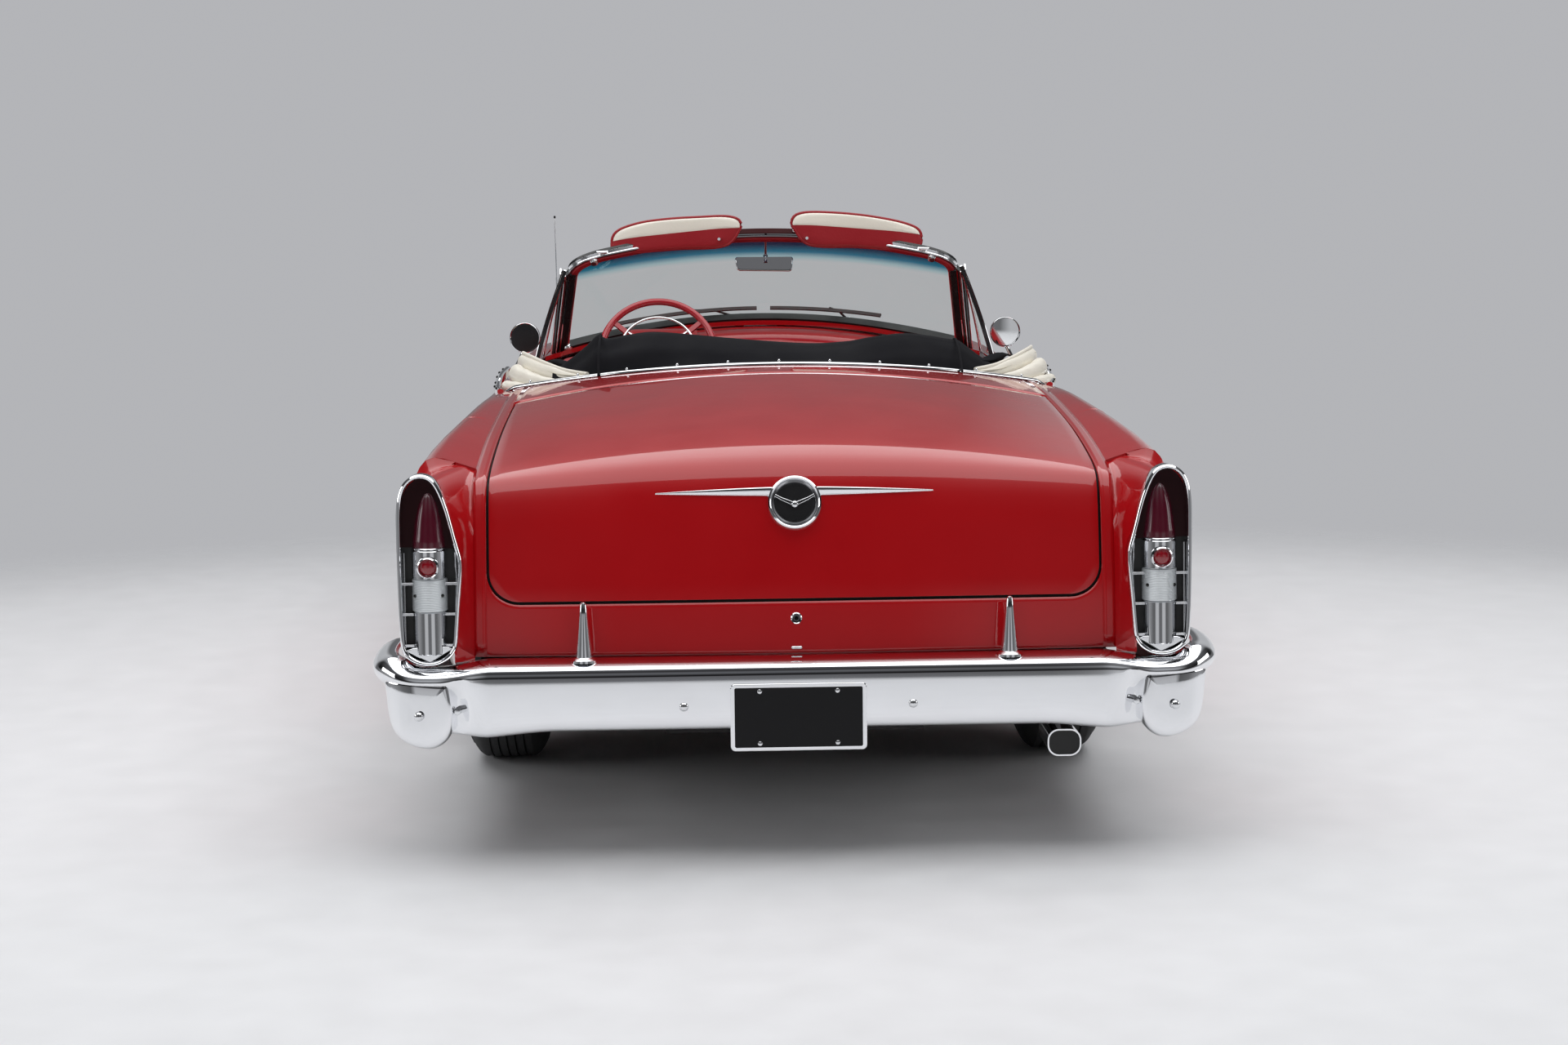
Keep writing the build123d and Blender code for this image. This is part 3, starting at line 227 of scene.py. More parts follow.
def grid(name, P, mat, body=BODY, wrap_u=False, wrap_v=False, caps=False, flip=False, **kw):
    """A mesh from rows of points."""
    P = np.asarray(P, float)
    nu, nv = P.shape[:2]
    faces = []
    for i in range(nu if wrap_u else nu - 1):
        for j in range(nv if wrap_v else nv - 1):
            a = i * nv + j
            b = i * nv + (j + 1) % nv
            c = ((i + 1) % nu) * nv + (j + 1) % nv
            d = ((i + 1) % nu) * nv + j
            faces.append((a, d, c, b) if flip else (a, b, c, d))
    if caps:
        faces.append(tuple(range(nv)))
        faces.append(tuple((nu - 1) * nv + j for j in reversed(range(nv))))
    return make(name, P.reshape(-1, 3), faces, mat, body, closed=caps or (wrap_u and wrap_v), **kw)


def lathe(name, profile, origin, axis, mat, body=BODY, n=64, closed=True, **kw):
    """Turned piece: profile is (radius, height along the axis)."""
    axis = Vector(axis).normalized()
    u = axis.orthogonal().normalized()
    v = axis.cross(u)
    o = Vector(origin)
    P = []
    for i in range(n):
        a = 2 * math.pi * i / n
        d = u * math.cos(a) + v * math.sin(a)
        P.append([o + d * r + axis * h for r, h in profile])
    ob = grid(name, P, mat, body, wrap_u=True, wrap_v=False, **kw)
    me = ob.data
    bm = bmesh.new()
    bm.from_mesh(me)
    bmesh.ops.remove_doubles(bm, verts=bm.verts, dist=1e-5)
    bmesh.ops.recalc_face_normals(bm, faces=bm.faces)
    bm.to_mesh(me)
    bm.free()
    me.polygons.foreach_set("use_smooth", [True] * len(me.polygons))
    me.set_sharp_from_angle(angle=math.radians(kw.get("angle", 38)))
    return ob


def smooth_path(points, n):
    """A smooth curve through points, evenly sampled."""
    p = np.asarray(points, float)
    seg = np.linalg.norm(np.diff(p, axis=0), axis=1)
    t = np.concatenate([[0], np.cumsum(seg)])
    u = np.linspace(0, t[-1], n)
    return np.stack([pchip(t, p[:, k], u) for k in range(p.shape[1])], 1)


def pchip(x, y, u):
    """Shape-preserving cubic interpolation."""
    x = np.asarray(x, float)
    y = np.asarray(y, float)
    h = np.diff(x)
    d = np.diff(y) / h
    m = np.zeros_like(y)
    if len(x) == 2:
        return y[0] + (np.asarray(u) - x[0]) * d[0]
    for i in range(1, len(x) - 1):
        if d[i - 1] * d[i] > 0:
            w1 = 2 * h[i] + h[i - 1]
            w2 = h[i] + 2 * h[i - 1]
            m[i] = (w1 + w2) / (w1 / d[i - 1] + w2 / d[i])
    m[0] = d[0]
    m[-1] = d[-1]
    u = np.clip(np.asarray(u, float), x[0], x[-1])
    k = np.clip(np.searchsorted(x, u, side="right") - 1, 0, len(x) - 2)
    s = (u - x[k]) / h[k]
    return (
        y[k] * (2 * s**3 - 3 * s**2 + 1) + m[k] * h[k] * (s**3 - 2 * s**2 + s)
        + y[k + 1] * (3 * s**2 - 2 * s**3) + m[k + 1] * h[k] * (s**3 - s**2)
    )


def catmull(points, n):
    """A rounded curve through points (centripetal), n samples even along it."""
    p = np.asarray(points, float)
    p = np.vstack([2 * p[0] - p[1], p, 2 * p[-1] - p[-2]])
    out = []
    for i in range(1, len(p) - 2):
        p0, p1, p2, p3 = p[i - 1], p[i], p[i + 1], p[i + 2]
        t0 = 0
        t1 = t0 + np.linalg.norm(p1 - p0) ** 0.5
        t2 = t1 + np.linalg.norm(p2 - p1) ** 0.5
        t3 = t2 + np.linalg.norm(p3 - p2) ** 0.5
        t = np.linspace(t1, t2, 24, endpoint=False)[:, None]
        a1 = (t1 - t) / (t1 - t0) * p0 + (t - t0) / (t1 - t0) * p1
        a2 = (t2 - t) / (t2 - t1) * p1 + (t - t1) / (t2 - t1) * p2
        a3 = (t3 - t) / (t3 - t2) * p2 + (t - t2) / (t3 - t2) * p3
        b1 = (t2 - t) / (t2 - t0) * a1 + (t - t0) / (t2 - t0) * a2
        b2 = (t3 - t) / (t3 - t1) * a2 + (t - t1) / (t3 - t1) * a3
        out.append((t2 - t) / (t2 - t1) * b1 + (t - t1) / (t2 - t1) * b2)
    out = np.vstack(out + [p[-2][None]])
    return resample(out, n)


def resample(p, n):
    p = np.asarray(p, float)
    d = np.concatenate([[0], np.cumsum(np.linalg.norm(np.diff(p, axis=0), axis=1))])
    u = np.linspace(0, d[-1], n)
    return np.stack([np.interp(u, d, p[:, k]) for k in range(p.shape[1])], 1)


def sweep(name, path, section, mat, body=BODY, up=(0, 0, 1), closed=False, caps=True, scale=None, **kw):
    """A section of (side, up) points carried along a path, kept level to up."""
    path = np.asarray(path, float)
    n = len(path)
    rows = []
    up = Vector(up)
    for i in range(n):
        a = path[(i - 1) % n] if (closed or i > 0) else path[0]
        b = path[(i + 1) % n] if (closed or i < n - 1) else path[-1]
        t = Vector(b - a).normalized()
        side = t.cross(up)
        if side.length < 1e-6:
            side = t.orthogonal()
        side.normalize()
        w = side.cross(t).normalized()
        k = 1.0 if scale is None else scale[i]
        rows.append([Vector(path[i]) + side * (sx * k) + w * (sz * k) for sx, sz in section])
    return grid(name, rows, mat, body, wrap_u=closed, wrap_v=True, caps=caps and not closed, **kw)


def circle(r, n=12, squash=1.0):
    return [(r * math.cos(2 * math.pi * i / n), r * squash * math.sin(2 * math.pi * i / n)) for i in range(n)]


def tube(name, path, r, mat, body=BODY, n=12, **kw):
    return sweep(name, path, circle(r, n), mat, body, **kw)


def prism(name, outline, origin, xdir, ydir, depth, mat, body=BODY, bev=0.0, seg=2, **kw):
    """An outline of (x, y) points on a plane, pushed out by depth along xdir cross ydir."""
    o = Vector(origin)
    x = Vector(xdir).normalized()
    y = Vector(ydir).normalized()
    z = x.cross(y).normalized()
    n = len(outline)
    verts = [o + x * a + y * b for a, b in outline] + [o + x * a + y * b + z * depth for a, b in outline]
    faces = [tuple(range(n)), tuple(range(2 * n - 1, n - 1, -1))]
    faces += [(i, (i + 1) % n, n + (i + 1) % n, n + i) for i in range(n)]
    ob = make(name, verts, faces, mat, body, **kw)
    if bev:
        bevel(ob, bev, seg)
    return ob


def block(name, lo, hi, mat, body=BODY, bev=0.004, seg=2):
    (x0, y0, z0), (x1, y1, z1) = lo, hi
    return prism(name, [(x0, y0), (x1, y0), (x1, y1), (x0, y1)], (0, 0, z0), (1, 0, 0), (0, 1, 0), z1 - z0, mat, body, bev, seg)


def rod(name, a, b, r, mat, body=BODY, n=20, r2=None, bev=0.0):
    a = Vector(a)
    b = Vector(b)
    h = (b - a).length
    r2 = r if r2 is None else r2
    ob = lathe(name, [(0, 0), (r, 0), (r2, h), (0, h)], a, b - a, mat, body, n)
    if bev:
        bevel(ob, bev)
    return ob


def mirror_points(P):
    Q = np.array(P, float)
    Q[..., 0] *= -1
    return Q


def both(build, *args, **kw):
    """Builds a piece for the right side and for the left."""
    return [build(s, *args, **kw) for s in (1, -1)]

# ---------------------------------------------------------------- body surfaces

# y, then x and z of the lowest point, the widest point, the shoulder, the crown and the inner top edge
SIDE = np.array([
    (-2.300, .878, .365, .916, .622, .906, .826, .860, .918, .745, .893),
    (-2.100, .882, .332, .922, .612, .909, .832, .846, .940, .745, .922),
    (-1.9035, .885, .312, .928, .600, .911, .838, .828, .958, .745, .944),
    (-1.600, .888, .304, .933, .592, .912, .842, .808, .975, .745, .967),
    (-1.3335, .890, .300, .935, .590, .914, .845, .802, .981, .745, .981),
    (-0.950, .890, .300, .935, .590, .915, .850, .818, .966, .745, .986),
    (-0.600, .889, .300, .934, .590, .915, .850, .850, .938, .755, .968),
    (-0.110, .888, .300, .932, .590, .915, .850, .864, .924, .770, .948),
    (0.540, .888, .300, .932, .595, .915, .862, .864, .937, .770, .964),
    (1.098, .888, .300, .932, .600, .915, .872, .864, .950, .770, .980),
    (1.458, .888, .300, .932, .605, .914, .872, .852, .958, .752, .988),
    (1.7655, .885, .300, .930, .610, .912, .870, .842, .957, .725, .982),
    (2.1535, .875, .330, .918, .640, .902, .860, .826, .940, .690, .958),
    (2.330, .863, .390, .903, .665, .890, .850, .812, .920, .664, .920),
    (2.4435, .846, .470, .885, .680, .872, .838, .790, .897, .640, .902),
])
YR, YF = -1.3335, 1.7655
HUB_Z = 0.352
ARCH = {YR: 0.405, YF: 0.415}


def section(y, n=34):
    """The outer line of the right-hand side at a station, from the bottom to the inner top edge."""
    c = [float(pchip(SIDE[:, 0], SIDE[:, k], [y])[0]) for k in range(1, 11)]
    xz = catmull(np.array(c).reshape(5, 2), n)
    return np.stack([xz[:, 0], np.full(n, y), xz[:, 1]], 1)


def trimmed(y, n, low=None):
    """The same line cut off at the bottom by a wheel opening or by a level."""
    p = section(y, 160)
    cut = -1.0 if low is None else low
    for yc, r in ARCH.items():
        if abs(y - yc) < r:
            cut = max(cut, HUB_Z + math.sqrt(r * r - (y - yc) ** 2))
    if cut > p[0, 2]:
        k = int(np.argmax(p[:, 2] >= cut))
        f = (cut - p[k - 1, 2]) / (p[k, 2] - p[k - 1, 2])
        first = p[k - 1] * (1 - f) + p[k] * f
        p = np.vstack([first[None], p[k:]])
    return resample(p, n)


def stations(y0, y1, step=0.045):
    """Stations along the car, closer together at the ends of a wheel opening."""
    ys = set(np.linspace(y0, y1, max(3, int(abs(y1 - y0) / step) + 1)).round(5))
    for yc, r in ARCH.items():
        for d in (r + 0.0008, r - 0.0004, r - 0.003, r - 0.010, r - 0.022, r - 0.045, r - 0.08, r - 0.13):
            for s in (-1, 1):
                if y0 < yc + s * d < y1:
                    ys.add(round(yc + s * d, 5))
    return sorted(ys)


def shell(name, s, y0, y1, mat=PAINT, body=BODY, t=0.022, low=None, n=34, wall=None):
    """One side panel: the outer line, a rolled edge, and an inner line; wall is the x of a flat inner face."""
    rows = []
    for y in stations(y0, y1):
        p = trimmed(y, n, low)
        if wall is not None:
            top = p[-1]
            inner = np.array([
                (wall, y, top[2] - 0.004), (wall, y, top[2] - 0.05), (wall, y, (top[2] + p[0, 2]) / 2),
                (wall, y, p[0, 2] + 0.02), (wall + 0.004, y, p[0, 2]),
            ])
            inner[:, 0] = np.minimum(inner[:, 0], p[0, 0] - 0.02)
        else:
            q = p.copy()
            q[:, 0] -= t
            k = np.linspace(0, 1, n) ** 3
            q[:, 0] += t * k
            q[:, 2] -= t * k
            inner = q[::-1][::3]
        rows.append(np.vstack([p, inner]))
    P = np.array(rows)
    if s < 0:
        P = mirror_points(P)
    return grid(name, P, mat, body, wrap_v=True, caps=True, angle=32)


DECK = np.array([
    (-.800, 1.080, .084), (-.900, 1.078, .084), (-1.300, 1.068, .084), (-1.650, 1.044, .078), (-2.000, 1.006, .068),
    (-2.250, .966, .062), (-2.370, .936, .056), (-2.425, .908, .050), (-2.456, .862, .044), (-2.476, .790, .040),
    (-2.494, .680, .037), (-2.507, .590, .036), (-2.516, .474, .034),
])
DC = catmull(DECK, 400)
DT = np.concatenate([[0], np.cumsum(np.linalg.norm(np.diff(DC[:, :2], axis=0), axis=1))])
_g = np.gradient(DC[:, :2], DT, axis=0)
DN = np.stack([_g[:, 1], -_g[:, 0]], 1)
DN /= np.linalg.norm(DN, axis=1)[:, None]
DN *= np.sign(DN[0, 1])


def deck(x, t, lift=0.0):
    """A point on the rear deck, t metres along its centre line."""
    y, z, drop = (np.interp(t, DT, DC[:, k]) for k in range(3))
    n = np.array([np.interp(t, DT, DN[:, 0]), np.interp(t, DT, DN[:, 1])])
    n /= np.linalg.norm(n)
    f = (abs(x) / 0.745) ** 2
    return np.array([x, y - n[0] * (drop * f - lift), z - n[1] * (drop * f - lift)])


def deck_t_y(y):
    return float(np.interp(-y, -DC[:260, 0], DT[:260]))


def deck_t_z(z):
    return float(np.interp(-z, -DC[:, 1], DT))


def belt_y(x):
    return -1.300 + (1.0356 - math.sqrt(1.0356**2 - x * x)) * (0.350 / 0.366)


T_LID0 = deck_t_y(-1.487)
T_GAP0 = deck_t_y(-1.479)
T_LID1 = deck_t_z(0.603)
T_GAP1 = deck_t_z(0.596)
T_END = DT[-1] - 0.002


def lid_half(t, half, r):
    d = T_LID1 - t if half < 0.712 else T_GAP1 - t
    w = half
    if d < r:
        w = half - r + math.sqrt(max(0.0, r * r - (r - d) ** 2))
    return w


def deck_rows(ts, half_of, n):
    rows = []
    for t in ts:
        w = half_of(t)
        rows.append([deck(x, t) for x in np.linspace(-w, w, n)])
    return rows


def panel(name, P, mat=PAINT, body=BODY, t=0.012, bev=0.0022, flip=False, **kw):
    """A sheet panel with a folded edge."""
    o = grid(name, P, mat, body, flip=flip, **kw)
    me = o.data
    bm = bmesh.new()
    bm.from_mesh(me)
    bmesh.ops.remove_doubles(bm, verts=bm.verts, dist=1e-5)
    bm.to_mesh(me)
    bm.free()
    me.polygons.foreach_set("use_smooth", [True] * len(me.polygons))
    me.set_sharp_from_angle(angle=math.radians(40))
    thick(o, t)
    if bev:
        bevel(o, bev, 2, 60)
    return o


ts = np.concatenate([
    np.linspace(T_LID0, T_LID1 - 0.075, 56), T_LID1 - 0.07 * (1 - np.sin(np.linspace(0, math.pi / 2, 13))),
])
ts[-1] = T_LID1 - 1e-4
lid = panel("boot_lid_skin", deck_rows(ts, lambda t: max(0.05, lid_half(t, 0.709, 0.070)), 61), PAINT, "boot_lid", flip=True)
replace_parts(lid, "trunk_lid")

# deck round the lid
parts = []
rows = []
for k in np.linspace(0, 1, 8):
    rows.append([deck(x, (1 - k) * deck_t_y(belt_y(x)) + k * T_GAP0) for x in np.linspace(-0.716, 0.716, 61)])
front_strip = panel("deck_front", rows, flip=True, bev=0)
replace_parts(front_strip, "rear_deck_panel")
for s in (1, -1):
    rows = []
    for k in np.linspace(0, 1, 60):
        row = []
        for x in np.linspace(0.716, 0.747, 4):
            t0 = deck_t_y(belt_y(x))
            row.append(deck(s * x, (1 - k) * t0 + k * T_END))
        rows.append(row)
    panel(f"deck_side_{'r' if s > 0 else 'l'}", rows, flip=s > 0, bev=0)
rows = []
R_GAP = 0.077
for k in np.linspace(0, 1, 14):
    row = []
    xs = np.concatenate([
        -0.639 - R_GAP * np.cos(np.linspace(0, math.pi / 2, 12)), np.linspace(-0.62, 0.62, 40),
        0.639 + R_GAP * np.sin(np.linspace(0, math.pi / 2, 12)),
    ])
    for x in xs:
        e = max(0.0, abs(x) - 0.639)
        up = R_GAP - math.sqrt(max(0.0, R_GAP**2 - min(e, R_GAP) ** 2))
        row.append(deck(x, (1 - k) * (T_GAP1 - up) + k * T_END))
    rows.append(row)
panel("tail_panel_skin", rows, flip=True, bev=0)

# painted shade: near-black channels under the seams of the lid, standing for the shade in the gaps
gutter = []
for t in np.linspace(T_LID0 - 0.03, T_LID1 + 0.03, 60):
    gutter.append([deck(x, t, -0.016) for x in (-0.735, -0.70, -0.66)])
for s in (1, -1):
    P = np.array(gutter)
    if s > 0:
        P = mirror_points(P)
    grid(f"lid_gutter_{'r' if s > 0 else 'l'}", P, RECESS_SHADE, smooth=True)
grid("lid_gutter_bottom", [[deck(x, t, -0.016) for x in np.linspace(-0.72, 0.72, 30)] for t in np.linspace(T_LID1 - 0.05, T_LID1 + 0.04, 5)], RECESS_SHADE)
grid("lid_gutter_front", [[deck(x, t, -0.060) for x in np.linspace(-0.72, 0.72, 30)] for t in np.linspace(T_LID0 - 0.03, T_LID0 + 0.012, 5)], RECESS_SHADE)

# side panels
for s, tag in ((1, "r"), (-1, "l")):
    quarter = shell(f"quarter_{tag}", s, -2.300, -0.860)
    shell(f"quarter_front_{tag}", s, -0.862, -0.117, wall=0.768, low=0.3225)
    if s > 0:
        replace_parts(quarter, "rear_quarters")
    door = shell(f"door_skin_{tag}", s, -0.110, 1.146, body="door_right_assembly" if s > 0 else "door_left_assembly", wall=0.782, low=0.331)
    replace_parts(door, "door_right" if s > 0 else "door_left")
    fender = shell(f"fender_{tag}", s, 1.153, 2.4435)
    if s > 0:
        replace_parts(fender, "front_fenders")

# tail of each wing, drawn in to the lamp's rim
BEZEL_OUT = np.array([(.9033, .500), (.9065, .58), (.908, .672), (.909, .765), (.908, .828), (.899, .872), (.880, .894), (.857, .901)])
BEZEL_IN = np.array([(.857, .901), (.834, .893), (.815, .863), (.798, .8165), (.782, .751), (.7685, .7047), (.770, .672), (.777, .5975), (.784, .505)])


def rim_y(z):
    return -2.512 - 0.026 * (0.90 - z) / 0.43


def lift(xz):
    return np.array([(x, rim_y(z), z) for x, z in xz])


b1 = resample(lift(catmull(BEZEL_OUT, 60)), 26)
b2 = resample(lift(catmull(BEZEL_IN[:4], 60)), 12)
b3 = resample(lift(BEZEL_IN[3:]), 20)
loop_b = np.vstack([b1, b2[1:], b3[1:]])
sec = section(-2.300, 200)
kc = int(np.argmax(sec[:, 2]))
a1 = resample(sec[: kc + 1], 26)
edge = np.array([deck(0.745, t) for t in np.linspace(deck_t_y(-2.315), T_END, 160)])
turn = int(np.argmax(edge[:, 2] < 0.845))
a2 = resample(np.vstack([sec[kc:], edge[:turn]]), 12)
a3 = resample(edge[turn - 1:], 20)
loop_a = np.vstack([a1, a2[1:], a3[1:]])
rows = []
for v in np.linspace(0, 1, 16):
    p = loop_a * (1 - v) + loop_b * v
    swell = math.sin(math.pi * v) * 0.006
    w = np.sin(np.pi * np.clip((np.arange(len(p)) - 8) / 34, 0, 1)) ** 2
    p[:, 0] += swell * 0.5 * w
    p[:, 2] += swell * w
    rows.append(p)
rows = np.array(rows)
for _ in range(25):
    rows[1:-1, 1:-1] = (rows[:-2, 1:-1] + rows[2:, 1:-1] + rows[1:-1, :-2] + rows[1:-1, 2:]) / 4
rows = list(rows)
last = loop_b.copy()
last[:, 1] += 0.012
last[:, 0] += (0.843 - last[:, 0]) * 0.06
rows.append(last)
for s, tag in ((1, "r"), (-1, "l")):
    P = np.array(rows)
    if s < 0:
        P = mirror_points(P)
    o = grid(f"wing_tail_{tag}", P, PAINT, flip=s > 0, angle=60)

# ---------------------------------------------------------------- tail lamps

LX = 0.842


def lamp_point(x, z, deep=0.0):
    return (x, rim_y(z) + deep, z)


tip = [(.784, .505), (.796, .4855), (.819, .4715), (.842, .4665), (.867, .4705), (.890, .4825), (.9033, .500)]
outline = np.vstack([catmull(BEZEL_OUT, 40), catmull(BEZEL_IN[:4], 24)[1:], BEZEL_IN[4:], np.array(tip)[1:-1]])
outline = resample(np.vstack([outline, outline[:1]]), 181)[:-1]
for _ in range(10):
    outline = (np.roll(outline, 1, axis=0) + 2 * outline + np.roll(outline, -1, axis=0)) / 4
inset = np.array([(LX + (x - LX) * 0.965, z - 0.003 * np.sign(z - 0.6)) for x, z in outline])


def lamp(s, tag):
    def m(points):
        P = np.array(points, float)
        return mirror_points(P) if s < 0 else P

    rim = [(-.0052, .030), (-.0052, -.002), (-.0034, -.0066), (0, -.0082), (.0034, -.0066), (.0052, -.002), (.0052, .030)]
    path = m([lamp_point(x, z) for x, z in outline])
    first = sweep(f"lamp_rim_{tag}", path, rim, CHROME, up=(0, 1, 0), closed=True, angle=50)
    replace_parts(first, "tail_lamps", "tail_lamp_lenses") if s > 0 else None
    # painted shade: a near-black well at the back of the lamp's hollow, and a maroon field over the band that is partly
    # the housing's red and partly painted shade
    well = [(x, z) for x, z in inset]
    n = len(well)
    verts = m([lamp_point(x, z, 0.024) for x, z in well])
    make(f"lamp_well_{tag}", verts, [tuple(range(n))], RECESS_SHADE, smooth=False, closed=False)
    top = [(x, z) for x, z in inset if z > 0.731]
    top = [p for p in top if p[0] > LX] + [p for p in top if p[0] <= LX]
    verts = m([lamp_point(x, z, 0.014) for x, z in top])
    make(f"lamp_field_{tag}", verts, [tuple(range(len(top)))], LENS_MAROON_SHADE, smooth=False, closed=False)
    axis = (0, -0.026 / 0.43 * -1, 1)

    def column(name, low, high, r, mat, profile=None, n=72):
        profile = profile or [(0, 0), (r - .002, 0), (r, .002), (r, high - low - .002), (r - .002, high - low), (0, high - low)]
        rows = []
        for i in range(n):
            a = 2 * math.pi * i / n
            rows.append([(LX + s0 * math.cos(a), rim_y(low + h) + 0.024 + s0 * math.sin(a), low + h) for s0, h in profile])
        P = m(rows)
        o = grid(name, P, mat, wrap_u=True)
        me = o.data
        bm = bmesh.new()
        bm.from_mesh(me)
        bmesh.ops.remove_doubles(bm, verts=bm.verts, dist=1e-5)
        bmesh.ops.recalc_face_normals(bm, faces=bm.faces)
        bm.to_mesh(me)
        bm.free()
        me.polygons.foreach_set("use_smooth", [True] * len(me.polygons))
        me.set_sharp_from_angle(angle=math.radians(35))
        return o

    column(f"lamp_foot_{tag}", .490, .588, .039, CHROME)
    ribs = [(0, 0), (.038, 0)] + [(.0408 - .0011 * (k % 2), .002 + k * .0014) for k in range(51)] + [(.038, .074), (0, .074)]
    column(f"lamp_clear_{tag}", .5885, .6625, .041, LENS_CLEAR, ribs, n=96)
    column(f"lamp_band_{tag}", .663, .729, .0405, CHROME)
    h = np.linspace(0, .1365, 30)
    r = pchip([0, .016, .0355, .0655, .0905, .1125, .1245, .1325, .1365], [.038, .0378, .0352, .0312, .0262, .0190, .0132, .0070, 0], h)
    column(f"lamp_bullet_{tag}", .7295, .866, .038, LENS_RED, [(0, 0)] + list(zip(r, h)), n=96)
    column(f"lamp_bullet_ring_{tag}", .7292, .735, .0395, CHROME)
    for z in (.510, .582, .652):
        for a, b in ((.776 if z > .6 else .780, .806), (.878, .903)):
            block(f"lamp_rib_{tag}_{round(z * 1000)}_{round(a * 1000)}", (s * a, rim_y(z) + .004, z - .003), (s * b, rim_y(z) + .026, z + .003), CHROME_SOFT, bev=.001)
    for a in (.783, .899):
        tube(f"lamp_channel_{tag}_{round(a * 1000)}", m([lamp_point(a + .004 * (a < .8), .50, .016), lamp_point(a - .004 * (a < .8), .66, .016), lamp_point(a, .722, .016)]), .0022, CHROME_SOFT, n=8)
    cup = [(.790, .503), (.842, .4705), (.899, .499), (.880, .506), (.842, .508), (.804, .508)]
    P = [(x, z) for x, z in cup]
    prism(f"lamp_cup_{tag}", [(s * x, z) for x, z in P], (0, rim_y(.49) - .002, 0), (1, 0, 0), (0, 0, 1), -.024, CHROME, bev=.002)
    c = Vector((s * LX, rim_y(.692) + .024 - .040, .692))
    ax = (0, -1, -.06)
    lathe(f"lamp_spot_ring_{tag}", [(.0195, -.004), (.0195, .006), (.0215, .0085), (.0245, .006), (.0255, 0), (.0255, -.006), (.0195, -.006)], c, ax, CHROME, n=48)
    lathe(f"lamp_spot_{tag}", [(0, .0095), (.008, .0090), (.014, .0068), (.0192, .002), (.0192, -.003), (0, -.003)], c, ax, LENS_SPOT, n=40)
    for dx in (-.031, .031):
        lathe(f"lamp_screw_{tag}_{'a' if dx < 0 else 'b'}", [(0, .0035), (.003, .003), (.0042, .001), (.0042, -.004), (0, -.004)], (s * (LX + dx), rim_y(.625) + .024 - .0255, .6255), (dx * s * 25, -1, 0), DARKMETAL, n=16)
    lathe(f"side_reflector_{tag}", [(0, .004), (.004, .0035), (.007, .001), (.007, -.010), (0, -.010)], (s * .9175, -2.44, .690), (s, 0, 0), LENS_SPOT, n=20)


for s, tag in ((1, "r"), (-1, "l")):
    lamp(s, tag)

# ---------------------------------------------------------------- rear bumper and plate

PLAN = catmull([(0, -2.6033), (.30, -2.6033), (.60, -2.603), (.74, -2.6015), (.82, -2.598), (.88, -2.590), (.928, -2.568), (.962, -2.528), (.981, -2.475), (.985, -2.42), (.978, -2.365), (.968, -2.335)], 110)
FACE = [(-.083, .4765), (-.050, .4755), (-.024, .4695), (-.011, .4625), (-.0055, .4555), (-.0055, .4505), (-.0015, .4470), (-.0002, .437), (0, .41), (-.0005, .38), (-.0015, .35), (-.004, .331), (-.010, .3195), (-.020, .3145), (-.034, .316)]
UNDER_LAMP = [(-.075, .4610), (-.052, .4610), (-.030, .4575), (-.014, .4505), (-.0055, .4440), (-.0055, .4395), (-.0015, .4360), (-.0015, .430), (-.005, .425), (-.013, .419), (-.024, .412), (-.030, .38), (-.032, .34), (-.036, .315), (-.045, .31)]
HORN = [(-.060, .481), (-.046, .4855), (-.029, .4845), (-.013, .476), (-.004, .465), (-.0005, .456), (0, .448), (-.002, .438), (-.007, .429), (-.015, .422), (-.026, .415), (-.032, .39), (-.034, .36), (-.036, .34), (-.045, .33)]


def soft(v, a, b):
    k = min(1.0, max(0.0, (v - a) / (b - a)))
    return k * k * (3 - 2 * k)


def bumper_row(i, s):
    x, y = PLAN[i]
    j, k = min(i + 1, len(PLAN) - 1), max(i - 1, 0)
    t = (PLAN[j] - PLAN[k]) / np.linalg.norm(PLAN[j] - PLAN[k])
    out = np.array([t[1], -t[0]])
    run = np.linalg.norm(np.diff(PLAN[: i + 1], axis=0), axis=1).sum()
    w1, w2 = soft(run, .70, .825), soft(run, .86, 1.00)
    row = []
    for f, u, h in zip(FACE, UNDER_LAMP, HORN):
        o, z = (1 - w1) * np.array(f) + w1 * ((1 - w2) * np.array(u) + w2 * np.array(h))
        if z < .45:
            o -= .020 * soft(x, .748, .770) * (1 - w1) * soft(z, .322, .352) * (1 - soft(z, .43, .444))
            z -= .014 * soft(x, .55, .76) * (1 - w1) * soft(-z, -.36, -.33)
        rise = soft(run, 1.02, 1.18)
        z += .014 * rise * soft(z, .40, .45) + .075 * rise * soft(-z, -.40, -.33)
        row.append((s * (x + out[0] * o), y + out[1] * o, z))
    return row


rows = [bumper_row(i, -1) for i in range(len(PLAN) - 1, 0, -1)] + [bumper_row(i, 1) for i in range(len(PLAN))]
bar = grid("bumper_face", rows, CHROME, angle=60)
sub = bar.modifiers.new("round", "SUBSURF")
sub.levels = sub.render_levels = 1
thick(bar, .005)
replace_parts(bar, "rear_bumper")

